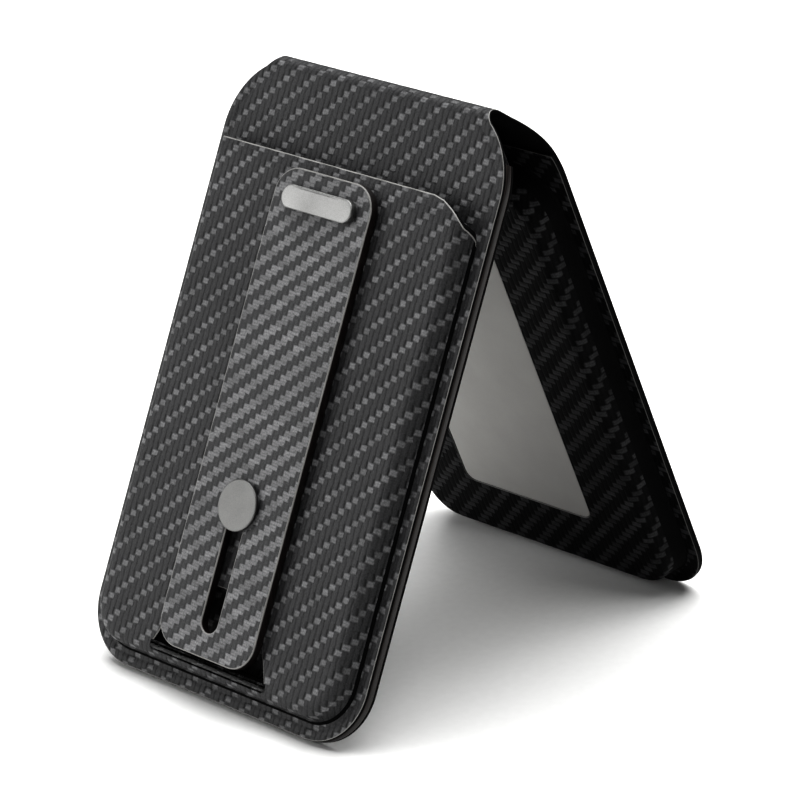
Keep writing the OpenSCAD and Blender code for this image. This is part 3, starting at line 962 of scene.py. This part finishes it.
        # The band over the rounded top edge takes the dimmed edge finish: a painted highlight in painted shade
        sheet = Flat().slab(self.outline(low[1]), [], profile, [1, 1, 1, 1, 1, 1, 2, 0, 0, 0])
        piece = sheet.piece(
            "phone_rim_leather", self.phone.place, self.dress.set(Dress.SHADED_INNER_TWILL, Dress.LINING, Dress.DIMMED_EDGE_HIGHLIGHT)
        )
        settle(piece, "stand_leaf", ("stand_liner",))

    def _lining(self) -> None:
        """Make the card leaf's inner lining."""
        low, high = self.card.extent("base_lining")
        a, b = low[2], high[2]
        profile = [
            (1.0, b), (0.15, b), (0.03, b - 0.06), (0.0, b - 0.18), (0.0, a + 0.2), (0.06, a + 0.06), (0.2, a),
            (0.7, a),
        ]
        sheet = Flat().slab(self.outline(low[1]), [], profile, [0] * 9)
        piece = sheet.piece("card_lining", self.card.place, self.dress.set(Dress.LINING))
        settle(piece, "card_leaf", ("base_lining",))


@dataclass
class EdgeBead:
    """The painted bead along the card leaf's edge, swept along its outline by Geometry Nodes."""

    wrap: Wrap
    dress: Wardrobe
    proud: float = 0.08
    inside: float = 0.9

    def tree(self) -> tuple[bpy.types.NodeTree, dict[str, str]]:
        """Build the sweep.

        Returns:
            The tree, and its inputs' identifiers by name.
        """
        tree = bpy.data.node_groups.new("edge bead", "GeometryNodeTree")
        tree.interface.new_socket("Geometry", in_out="INPUT", socket_type="NodeSocketGeometry")
        names = {}
        for name in ("Width", "Height", "Fillet"):
            names[name] = tree.interface.new_socket(name, in_out="INPUT", socket_type="NodeSocketFloat").identifier
        names["Paint"] = tree.interface.new_socket("Paint", in_out="INPUT", socket_type="NodeSocketMaterial").identifier
        tree.interface.new_socket("Geometry", in_out="OUTPUT", socket_type="NodeSocketGeometry")
        inside = add(tree, "NodeGroupInput")
        path = add(tree, "GeometryNodeMeshToCurve", {"Mesh": inside.outputs["Geometry"]})
        section = add(
            tree, "GeometryNodeCurvePrimitiveQuadrilateral",
            {"Width": inside.outputs["Width"], "Height": inside.outputs["Height"]},
        )
        rounding = add(
            tree, "GeometryNodeFilletCurve",
            {"Curve": section.outputs[0], "Radius": inside.outputs["Fillet"], "Count": 4},
            mode="POLY",
        )
        swept = add(
            tree, "GeometryNodeCurveToMesh",
            {"Curve": path.outputs[0], "Profile Curve": rounding.outputs[0], "Fill Caps": True},
        )
        smooth = add(tree, "GeometryNodeSetShadeSmooth", {"Geometry": swept.outputs[0]})
        real = add(tree, "GeometryNodeRealizeInstances", {"Geometry": smooth.outputs[0]})
        painted = add(
            tree, "GeometryNodeSetMaterial", {"Geometry": real.outputs[0], "Material": inside.outputs["Paint"]}
        )
        add(tree, "NodeGroupOutput", {0: painted.outputs[0]})
        return tree, names

    def build(self) -> None:
        """Sweep the bead down both sides and round the free edge of the card leaf."""
        low, high = self.wrap.card.extent("base_board")
        middle, tall = (low[2] + high[2]) / 2, high[2] - low[2]
        right = self.wrap.side(low[1])
        line = tidy(right + [(-x, s) for x, s in reversed(right)])
        start = int(np.argmin(np.hypot(line[:, 0] - right[0][0], line[:, 1] - right[0][1])))
        line = np.roll(line, -start, 0)
        if np.hypot(*(line[1] - line[0])) > 10:
            line = np.roll(line[::-1], 1, 0)
        inset = self.inside / 2 - self.proud
        path = line - normals(line, closed=False) * inset
        mesh = bpy.data.meshes.new("edge_bead_path")
        mesh.from_pydata([(x, s, 0.0) for x, s in path], [(i, i + 1) for i in range(len(path) - 1)], [])
        made = sweep_out(mesh, self.tree(), {
            "Width": self.inside, "Height": tall - 0.06, "Fillet": 0.28, "Paint": self.dress[Dress.EDGE_PAINT],
        })
        co = np.zeros(len(made.vertices) * 3)
        made.vertices.foreach_get("co", co)
        rows = co.reshape(-1, 3)
        rows[:, 2] += middle
        made.vertices.foreach_set("co", self.wrap.card.place(rows).ravel())
        settle(finish_swept(made, "card_edge_bead"), "card_leaf")


def sweep_out(
    mesh: bpy.types.Mesh, built: tuple[bpy.types.NodeTree, dict[str, str]], values: dict[str, object]
) -> bpy.types.Mesh:
    """Run a Geometry Nodes tree on a mesh once and keep the plain result.

    Args:
        mesh: what the tree works on.
        built: the tree and its inputs' identifiers.
        values: the inputs by name.

    Returns:
        A new mesh without modifiers.
    """
    tree, names = built
    carrier = bpy.data.objects.new(mesh.name, mesh)
    bpy.context.scene.collection.objects.link(carrier)
    modifier = carrier.modifiers.new(tree.name, "NODES")
    modifier.node_group = tree
    for name, value in values.items():
        modifier[names[name]] = value
    seen = carrier.evaluated_get(bpy.context.evaluated_depsgraph_get())
    made = bpy.data.meshes.new_from_object(seen)
    carrier.modifiers.remove(modifier)
    bpy.data.objects.remove(carrier)
    return made


def finish_swept(mesh: bpy.types.Mesh, name: str) -> bpy.types.Object:
    """Recalculate a swept mesh's normals and link it as a piece.

    Args:
        mesh: the placed mesh.
        name: the piece's name.

    Returns:
        The linked object.
    """
    bm = bmesh.new()
    bm.from_mesh(mesh)
    bmesh.ops.remove_doubles(bm, verts=bm.verts[:], dist=1e-7)
    bmesh.ops.recalc_face_normals(bm, faces=bm.faces[:])
    bm.to_mesh(mesh)
    bm.free()
    mesh.name = name
    made = bpy.data.objects.new(name, mesh)
    bpy.context.scene.collection.objects.link(made)
    return made


@dataclass
class RivetRow:
    """The hinge plates' rivets, one tree for both leaves."""

    card: Leaf
    phone: Leaf
    dress: Wardrobe
    count: int = 4
    head: float = 0.28  # how high the domed head stands, in mm

    def tree(self) -> tuple[bpy.types.NodeTree, dict[str, str]]:
        """Build the tree that sets a domed rivet on each point.

        Returns:
            The tree, and its inputs' identifiers by name.
        """
        tree = bpy.data.node_groups.new("rivet row", "GeometryNodeTree")
        tree.interface.new_socket("Geometry", in_out="INPUT", socket_type="NodeSocketGeometry")
        names = {}
        for name in ("Radius", "Length", "Head"):
            names[name] = tree.interface.new_socket(name, in_out="INPUT", socket_type="NodeSocketFloat").identifier
        names["Metal"] = tree.interface.new_socket("Metal", in_out="INPUT", socket_type="NodeSocketMaterial").identifier
        tree.interface.new_socket("Geometry", in_out="OUTPUT", socket_type="NodeSocketGeometry")
        inside = add(tree, "NodeGroupInput")
        shank = add(
            tree, "GeometryNodeMeshCylinder",
            {"Vertices": 24, "Radius": inside.outputs["Radius"], "Depth": inside.outputs["Length"]},
        )
        bevel = add(tree, "ShaderNodeMath", {0: inside.outputs["Radius"], 1: 0.999}, operation="MULTIPLY")
        dome = add(
            tree, "GeometryNodeMeshUVSphere", {"Segments": 24, "Rings": 10, "Radius": bevel.outputs[0]}
        )
        head, radius = inside.outputs["Head"], inside.outputs["Radius"]
        ratio = add(tree, "ShaderNodeMath", {0: head, 1: radius}, operation="DIVIDE")
        scale = add(tree, "ShaderNodeCombineXYZ", {0: 1.0, 1: 1.0, 2: ratio.outputs[0]})
        lift = add(tree, "ShaderNodeMath", {0: inside.outputs["Length"], 1: 0.5}, operation="MULTIPLY")
        up = add(tree, "ShaderNodeCombineXYZ", {2: lift.outputs[0]})
        flat = add(
            tree, "GeometryNodeTransform",
            {"Geometry": dome.outputs[0], "Translation": up.outputs[0], "Scale": scale.outputs[0]},
        )
        joined = add(tree, "GeometryNodeJoinGeometry", {0: shank.outputs[0]})
        tree.links.new(flat.outputs[0], joined.inputs[0])
        spread = add(tree, "GeometryNodeInstanceOnPoints", {"Points": inside.outputs[0], "Instance": joined.outputs[0]})
        real = add(tree, "GeometryNodeRealizeInstances", {"Geometry": spread.outputs[0]})
        metal = add(tree, "GeometryNodeSetMaterial", {"Geometry": real.outputs[0], "Material": inside.outputs["Metal"]})
        add(tree, "NodeGroupOutput", {0: metal.outputs[0]})
        return tree, names

    def build(self) -> None:
        """Set one row in each leaf, sized from the CAD rivets."""
        built = self.tree()
        for leaf, node, body, name in (
            (self.card, "hinge_rivets_front", "card_leaf", "card_rivets"),
            (self.phone, "hinge_rivets_rear", "stand_leaf", "phone_rivets"),
        ):
            low, high = leaf.extent(node)
            radius = (high[1] - low[1]) / 2
            xs = np.linspace(low[0] + radius, high[0] - radius, self.count)
            s, n = (low[1] + high[1]) / 2, (low[2] + high[2] - self.head) / 2
            mesh = bpy.data.meshes.new(name + "_places")
            mesh.from_pydata([(x, s, n) for x in xs], [], [])
            made = sweep_out(mesh, built, {
                "Radius": radius, "Length": high[2] - low[2] - self.head, "Head": self.head,
                "Metal": self.dress[Dress.STEEL],
            })
            co = np.zeros(len(made.vertices) * 3)
            made.vertices.foreach_get("co", co)
            made.vertices.foreach_set("co", leaf.place(co.reshape(-1, 3)).ravel())
            settle(finish_swept(made, name), body, (node,))


@dataclass
class RaisedPanel:
    """A leather panel that stands off its leaf on soft shoulders, with one opening in its face."""

    leaf: Leaf
    dress: Wardrobe
    node: str
    name: str
    body: str
    corner_r: float = 8.0
    wall: float = 0.6
    lean: float = 1.7
    soft: float = 1.5  # how far the shoulder's round reaches in from the leaning wall

    def __post_init__(self) -> None:
        """Measure the CAD panel."""
        self.low, self.high = self.leaf.extent(self.node)

    def profile(self) -> tuple[list[tuple[float, float]], list[tuple[float, float]]]:
        """Return the shoulder's outer and inner sections as inset and depth, from the foot to the face."""
        foot, face = self.low[2], self.high[2]
        rise = face - foot
        outer = [(-0.22, 0.015), (-0.06, 0.05), (0.1, 0.18), (0.22, 0.45)]
        outer = [(d, foot + n) for d, n in outer]
        wall_top = 0.62
        for t in np.linspace(0.25, wall_top, 4):
            outer.append((self.lean * 0.72 * t + 0.1, foot + rise * t))
        d0, n0 = outer[-1]
        d1 = self.lean + self.soft
        for a in np.radians(np.linspace(0, 90, 9))[1:]:
            outer.append((d1 - (d1 - d0) * math.cos(a) ** 1.15, n0 + (face - n0) * math.sin(a) ** 0.9))
        outer.append((d1 + 0.4, face))
        inner = []
        for i, (d, n) in enumerate(outer):
            thinned = self.wall * min(1.0, i / 8)
            inner.append((min(d + self.wall, d1 + 0.4 + self.wall), max(foot, min(n, face) - thinned)))
        return outer, inner

    def hole_rings(self, flat: Flat, hole: np.ndarray, face: float, under: float) -> tuple[list, list]:
        """Build the wall of the opening.

        Args:
            flat: the drawing.
            hole: the opening's outline.
            face: depth of the face.
            under: depth of the panel's inner side.

        Returns:
            The ring at the face and the ring at the inner side.
        """
        section = [
            (0.4, face), (0.16, face), (0.05, face - 0.05), (0.0, face - 0.16), (0.0, under + 0.1), (0.05, under),
        ]
        push = normals(hole)
        unit = push / np.linalg.norm(push, axis=1, keepdims=True)
        rows, maps, reach = [], [], 0.0
        for i, (d, n) in enumerate(section):
            reach += math.dist(section[i - 1], (d, n)) if i else 0.0
            rows.append(flat.row(hole - push * d, n))
            maps.append(hole - push * section[0][0] + unit * reach)
        # The two bands round the face edge take the pale edge finish of slot 2: a painted highlight
        for i in range(len(rows) - 1):
            flat.strip(rows[i], rows[i + 1], maps[i], maps[i + 1], (0, 2, 2, 1, 1)[i])
        return rows[0], rows[-1]


@dataclass
class PocketCover(RaisedPanel):
    """The card pocket's panel: open at the mouth, with the thumb cut-out under the strap."""

    mouth_reach: tuple[float, float] = (8.0, 6.2)  # how far the cut mouth corner runs across and down
    square_reach: tuple[float, float] = (1.2, 0.8)
    thumb_half: tuple[float, float] = (8.0, 14.0)
    thumb_l: float = 13.5
    ease: float = 0.2
    ease_depth: float = 0.16
    foot_shade_rows: int = 3  # rows of the shoulder, from the foot, painted black as shade in the groove

    def mouth(self, x: float) -> float:
        """Distance down to the mouth at a place across the panel."""
        across, down = self.mouth_reach if x > 0 else self.square_reach
        over = (abs(x) - self.high[0] + across) / across
        return self.low[1] + down * (1 - (1 - min(max(over, 0.0), 1.0) ** 1.6) ** (1 / 1.6))

    def ring(self, d: float, sides: int = 26) -> tuple[np.ndarray, np.ndarray]:
        """Sample the U round the pocket at one inset.

        Args:
            d: inset from the foot's outline.
            sides: steps down each side.

        Returns:
            Its points and their outward normals, from the left mouth corner round to the right one.
        """
        half, end, r = self.high[0], self.high[1], self.corner_r
        reach = half - max(d, 0.0)
        down = np.linspace(self.mouth(reach), end - r, sides + 1)
        left = [(-(half - d), s) for s in np.linspace(self.mouth(-reach), end - r, sides + 1)[:-1]]
        points = left + arc(-(half - r), end - r, r - d, 180, 90, 20)
        points += list(zip(np.linspace(-(half - r), half - r, 14)[1:-1], [end - d] * 12))
        points += arc(half - r, end - r, r - d, 90, 0, 20)
        points += [(half - d, s) for s in down[::-1][1:]]
        rows = np.array(points)
        centre = np.stack([np.clip(rows[:, 0], -(half - r), half - r), np.minimum(rows[:, 1], end - r)], 1)
        away = rows - centre
        return rows, away / np.linalg.norm(away, axis=1, keepdims=True)

    def thumb(self) -> np.ndarray:
        """Outline the thumb cut-out with eased corners."""
        low = self.high[1] - self.lean - 0.7
        top = low - self.thumb_l
        a, b = self.thumb_half
        corners = [(-b, low), (b, low), (a, top), (-a, top)]
        eased: list[tuple[float, float]] = []
        for i, corner in enumerate(corners):
            c = np.array(corner)
            p, q = np.array(corners[i - 1]), np.array(corners[(i + 1) % 4])
            reach = 1.2
            p, q = c + (p - c) / np.linalg.norm(p - c) * reach, c + (q - c) / np.linalg.norm(q - c) * reach
            for t in np.linspace(0, 1, 7):
                eased.append(tuple((1 - t) ** 2 * p + 2 * t * (1 - t) * c + t**2 * q))
        return tidy(eased, hole=True, step=2.5)

    def build(self) -> None:
        """Make the panel as a closed shell, with its lip, foot and cut-out finished."""
        outer, inner = self.profile()
        flat = Flat()
        face, under = outer[-1][1], inner[-1][1]
        reach = unrolled_length(outer)
        last = outer[-1][0]
        skins = []
        for section, finish in ((outer, 0), (inner, 1)):
            rows, maps = [], []
            for i, (d, n) in enumerate(section):
                points, away = self.ring(d)
                rows.append(flat.row(points, n))
                maps.append(points + away * (reach[i] - (last - outer[i][0])))
            for i in range(len(rows) - 1):
                # The groove at the foot is painted black with the lining: painted shade
                number = finish or int(i < self.foot_shade_rows)
                flat.strip(rows[i], rows[i + 1], maps[i], maps[i + 1], number, closed=False)
            skins.append((rows, maps))
        (out_rows, out_maps), (in_rows, in_maps) = skins
        xs = np.linspace(self.high[0] - last, -(self.high[0] - last), 24)[1:-1]
        lips = []
        for n in (face, under):
            lips.append(flat.row(np.array([(x, self.mouth(x)) for x in xs]), n))
        hole_top, hole_low = self.hole_rings(flat, self.thumb(), face, under)
        flat.cap([out_rows[-1] + lips[0], hole_top], 0)
        flat.cap([in_rows[-1] + lips[1], hole_low], 1)
        flat.strip(out_rows[0], in_rows[0], out_maps[0], in_maps[0], 1, closed=False)
        edge = [
            [r[-1] for r in rows] + lip + [r[0] for r in reversed(rows)]
            for rows, lip in ((out_rows, lips[0]), (in_rows, lips[1]))
        ]
        where = np.array([(v.co.x, v.co.y) for v in edge[0]])
        # The lip's face edge is eased by a fifth of a millimetre
        eased = flat.row(where, 0.0)
        for vertex, rim in zip(eased, edge[0]):
            vertex.co.z = rim.co.z - self.ease_depth
            rim.co.y += self.ease
        # The eased strip takes the pale edge finish, a painted highlight, and the wall under it the black lining, a
        # painted shadow line at the mouth
        flat.strip(edge[0], eased, where, where + 0.2, 2, closed=False)
        flat.strip(eased, edge[1], where + 0.2, where + 0.6, 1, closed=False)
        piece = flat.piece(self.name, self.leaf.place, self.dress.set(Dress.TWILL, Dress.LINING, Dress.CUT_EDGE_HIGHLIGHT))
        settle(piece, self.body, (self.node,))


@dataclass
class BlockCover(RaisedPanel):
    """The phone leaf's raised block, with a window for the steel plate."""

    plate_clear: float = 0.05
    wall_shade_rows: int = 6  # rows of the wall, from the foot, painted black as shade

    def build(self) -> None:
        """Make the panel as a closed shell round its window."""
        outer, inner = self.profile()
        flat = Flat()
        face, under = outer[-1][1], inner[-1][1]
        reach = unrolled_length(outer)
        last = outer[-1][0]
        base = tidy(rounded(self.low[0], self.low[1], self.high[0], self.high[1], self.corner_r, 18), step=5.0)
        push = normals(base)
        unit = push / np.linalg.norm(push, axis=1, keepdims=True)
        ends, feet = [], []
        for section, finish in ((outer, 0), (inner, 1)):
            rows = [flat.row(base - push * d, n) for d, n in section]
            maps = [base - push * d + unit * (reach[i] - (last - outer[i][0])) for i, (d, _) in enumerate(section)]
            for i in range(len(rows) - 1):
                # The wall's foot is painted black with the lining: painted shade
                flat.strip(rows[i], rows[i + 1], maps[i], maps[i + 1], finish or int(i < self.wall_shade_rows))
            ends.append(rows[-1])
            feet.append((rows[0], maps[0]))
        flat.strip(feet[0][0], feet[1][0], feet[0][1], feet[1][1], 1)
        low, high = self.leaf.extent("metal_plate")
        c = self.plate_clear
        hole = tidy(rounded(low[0] - c, low[1] - c, high[0] + c, high[1] + c, 2.05, 8), hole=True, step=6.0)
        hole_top, hole_low = self.hole_rings(flat, hole, face, under)
        flat.cap([ends[0], hole_top], 0)
        flat.cap([ends[1], hole_low], 1)
        piece = flat.piece(self.name, self.leaf.place, self.dress.set(Dress.SHADED_INNER_TWILL, Dress.LINING, Dress.DIMMED_EDGE_HIGHLIGHT))
        settle(piece, self.body, (self.node,))


@dataclass
class Strap:
    """The slotted strap: one leather strip in three pieces, each spanning one of its joints."""

    leaf: Leaf
    dress: Wardrobe
    corner_r: float = 4.8
    slot_w: float = 3.8
    slot_tail: float = 4.2

    def build(self) -> None:
        """Draw the strip flat, cut its faces round each joint, and split it into three pieces in its stiff stretches.
        """
        low, high = self.leaf.extent("strap_tab", "strap_upper", "strap_lower", "strap_end")
        under = self.leaf.extent("strap_upper")[0][2]
        top = high[2]
        outline = tidy(rounded(low[0], low[1], high[0], high[1], self.corner_r, 16), step=3.0)
        r = self.slot_w / 2
        end = high[1] - self.slot_tail - r
        stud = sum(b[1] for b in self.leaf.extent("stud_cap")) / 2 - 0.5
        slot = tidy(arc(0, stud, r, 180, 360, 18) + arc(0, end, r, 0, 180, 18), hole=True, step=3.0)
        t = top - under
        profile = [
            (0.7, under), (0.2, under), (0.05, under + 0.06), (0.0, under + 0.22), (0.0, under + 0.55 * t),
            (0.0, top - 0.2),
            (0.03, top - 0.1), (0.1, top - 0.03), (0.22, top), (0.6, top),
        ]
        # The three bevel bands take the pale cut-edge finish: the painted highlight of the strap's rounded outline
        strip = Flat().slab(outline, [slot], profile, [1, 1, 1, 1, 1, 1, 2, 2, 2, 0, 0])
        places = [self._along(name) for name in ("strap_root", "strap_knee", "strap_ankle")]
        bends = (2.2, 3.2, 2.2)
        stations = [s + d for s, b in zip(places, bends) for d in np.linspace(-b, b, 13)]
        strip.cut(stations)
        cuts = [low[1] - 1, (places[0] + places[1]) / 2, (places[1] + places[2]) / 2, high[1] + 1]
        bodies = ("card_leaf", "strap_upper_body", "strap_lower_body", "strap_end_body")
        stands = (("strap_tab",), ("strap_upper", "strap_lower"), ("strap_end",))
        for i, name in enumerate(("strap_fixed_end", "strap_knee_stretch", "strap_sliding_end")):
            part = strip.between(cuts[i], cuts[i + 1])
            piece = part.piece(name, self.leaf.place, self.dress.set(Dress.STRAP, Dress.EDGE_PAINT, Dress.CUT_EDGE_HIGHLIGHT))
            start = self.leaf.point(0, places[i] - bends[i], top)
            stop = self.leaf.point(0, places[i] + bends[i], top)
            settle(piece, (bodies[i], bodies[i + 1], start, stop), stands[i])

    def _along(self, name: str) -> float:
        """Distance down the leaf to a joint, in millimetres."""
        return float((Vector(joint(name)["pos_m"]) - Vector(self.leaf.pin)).dot(Vector(self.leaf.down)) / MM)


@dataclass
class Fittings:
    """The bar, the stud and the steel plate: small metal faces with turned or pressed edges."""

    card: Leaf
    phone: Leaf
    dress: Wardrobe
    bar_edge: float = 0.22
    stud_edge: float = 0.16
    plate_edge: float = 0.12

    def build(self) -> None:
        """Make the three faces."""
        low, high = self.card.extent("pill_bar")
        r = (high[1] - low[1]) / 2
        outline = rounded(low[0], low[1], high[0], high[1], r, 20)
        self._button("bar_face", self.card, "pill_bar", outline, self.bar_edge, "card_leaf")
        low, high = self.card.extent("stud_cap")
        r = (high[0] - low[0]) / 2
        circle = arc((low[0] + high[0]) / 2, (low[1] + high[1]) / 2, r, 0, 360, 72)
        self._button("stud_face", self.card, "stud_cap", circle, self.stud_edge, "card_leaf")
        low, high = self.phone.extent("metal_plate")
        plate = rounded(low[0], low[1], high[0], high[1], 2.0, 10)
        self._button("steel_plate", self.phone, "metal_plate", plate, self.plate_edge, "stand_leaf")

    def _button(
        self, name: str, leaf: Leaf, node: str, outline: list[tuple[float, float]], edge: float, body: str
    ) -> None:
        """Make one plate with a rounded upper edge.

        Args:
            name: the piece's name.
            leaf: the leaf that it lies on.
            node: the CAD node that it replaces.
            outline: its outline.
            edge: radius of its upper edge.
            body: the body that it rides on.
        """
        low, high = leaf.extent(node)
        a, b = low[2], high[2]
        profile = [(0.6, a), (0.1, a), (0.0, a + 0.08), (0.0, b - edge)]
        profile += [(edge * (1 - math.cos(t)), b - edge * (1 - math.sin(t))) for t in np.radians((22, 45, 68, 90))]
        profile.append((edge + 0.25, b))
        flat = Flat().slab(tidy(outline, step=5.0), [], profile, [0] * (len(profile) + 1))
        dress = {"metal_plate": Dress.PLATE, "stud_cap": Dress.TURNED}.get(node, Dress.BLASTED)
        settle(flat.piece(name, leaf.place, self.dress.set(dress)), body, (node,))


@dataclass
class Inner:
    """The hard parts that keep their CAD shape and get their real finish."""

    dress: Wardrobe

    def build(self) -> None:
        """Give each kept node its finish by what it is made of."""
        kinds = {
            Dress.BOARD: ("base_board", "pocket_board", "stand_board"),
            Dress.PLASTIC: ("rail_left", "rail_right", "rail_bottom_left", "rail_bottom_right", "block_core"),
            Dress.STEEL: (
                "pill_posts", "pill_backplate", "stud_post", "stud_washer", "hinge_plate_front", "hinge_plate_rear",
                "hinge_pin", "shield_sheet", "shunt_ring",
            ),
            Dress.MAGNET: ("magnet_ring", "align_magnet", "catch_magnets_front", "catch_magnets_rear"),
        }
        for dress, names in kinds.items():
            for name in names:
                slots = frame["nodes"][name].material_slots
                for entry in slots:
                    entry.material = self.dress[dress]
                if not len(slots):
                    frame["nodes"][name].data.materials.append(self.dress[dress])
                log.info("%s: %s", name, dress.value)


# ---------------------------------------------------------------- studio


@dataclass
class Studio:
    """Pale floor, soft light and the camera."""

    dress: Wardrobe
    floor_size: float = 6.0
    azimuth: float = 46.0
    elevation: float = 20.56
    roll: float = -2.21
    distance: float = 0.7072
    lens: float = 188.96
    shift: tuple[float, float] = (0.01403, -0.04461)
    aim: float = 0.494  # height of the point aimed at, as a share of the object's height

    def build(self) -> None:
        """Set up the floor, the lights, the sky and the camera."""
        self._floor()
        self._lights()
        self._camera()

    def _floor(self) -> None:
        """Lay the floor under the object's lowest point."""
        half = self.floor_size / 2
        level = CAD_BOX[0].z
        mesh = bpy.data.meshes.new("floor")
        corners = [(-half, -half, level), (half, -half, level), (half, half, level), (-half, half, level)]
        mesh.from_pydata(corners, [], [(0, 1, 2, 3)])
        mesh.materials.append(self.dress[Dress.FLOOR])
        floor = bpy.data.objects.new("floor", mesh)
        bpy.context.scene.collection.objects.link(floor)

    def _lights(self) -> None:
        """Hang the softboxes and set the sky."""
        view = bpy.context.scene.view_settings
        view.view_transform = "Standard"
        view.look = "High Contrast"
        world = bpy.data.worlds.new("studio sky")
        world.use_nodes = True
        sky = next(n for n in world.node_tree.nodes if n.type == "BACKGROUND")
        sky.inputs["Color"].default_value = (1.0, 1.0, 1.0, 1.0)
        sky.inputs["Strength"].default_value = 0.04
        bpy.context.scene.world = world
        centre = Vector((0, 0, 0.05))
        # A wide box low in front and to the left, one overhead for the floor, and a small one beside the camera
        for name, where, size, power in (
            ("front_left_box", (-0.87, -0.9, 0.42), 0.9, 7.0),
            ("overhead_box", (-0.1, 0.3, 1.5), 2.0, 45.0),
            ("camera_side_box", (0.75, -0.85, 0.55), 0.35, 1.2),
        ):
            data = bpy.data.lights.new(name, "AREA")
            data.shape = "SQUARE"
            data.size = size
            data.energy = power
            lamp = bpy.data.objects.new(name, data)
            lamp.location = where
            lamp.rotation_euler = (centre - Vector(where)).to_track_quat("-Z", "Y").to_euler()
            bpy.context.scene.collection.objects.link(lamp)

    def _camera(self) -> None:
        """Place the camera on its sight line."""
        a, e, r = (math.radians(v) for v in (self.azimuth, self.elevation, self.roll))
        back = Vector((math.sin(a) * math.cos(e), -math.cos(a) * math.cos(e), math.sin(e)))
        right = Vector((math.cos(a), math.sin(a), 0))
        up = right.cross(-back)
        right, up = math.cos(r) * right + math.sin(r) * up, -math.sin(r) * right + math.cos(r) * up
        target = Vector((0, 0, CAD_BOX[0].z + self.aim * (CAD_BOX[1].z - CAD_BOX[0].z)))
        data = bpy.data.cameras.new("camera")
        data.sensor_width = 36.0
        data.lens = self.lens
        data.shift_x, data.shift_y = self.shift
        data.clip_start = 0.01
        camera = bpy.data.objects.new("camera", data)
        turn = Matrix((right, up, back)).transposed().to_4x4()
        camera.matrix_world = Matrix.Translation(target + back * self.distance) @ turn
        bpy.context.scene.collection.objects.link(camera)
        bpy.context.scene.camera = camera


def main() -> None:
    """Build every sub-assembly in order."""
    logging.basicConfig(level=logging.INFO, format="%(name)s: %(message)s")
    dress = Wardrobe()
    card, phone = card_leaf(), phone_leaf()
    wrap = Wrap(card, phone, dress)
    wrap.build()
    EdgeBead(wrap, dress).build()
    PocketCover(card, dress, "pocket_cover", "pocket_leather", "card_leaf").build()
    BlockCover(phone, dress, "block_cover", "block_leather", "stand_leaf").build()
    Strap(card, dress).build()
    Fittings(card, phone, dress).build()
    RivetRow(card, phone, dress).build()
    Inner(dress).build()
    Studio(dress).build()


if __name__ == "__main__":
    main()
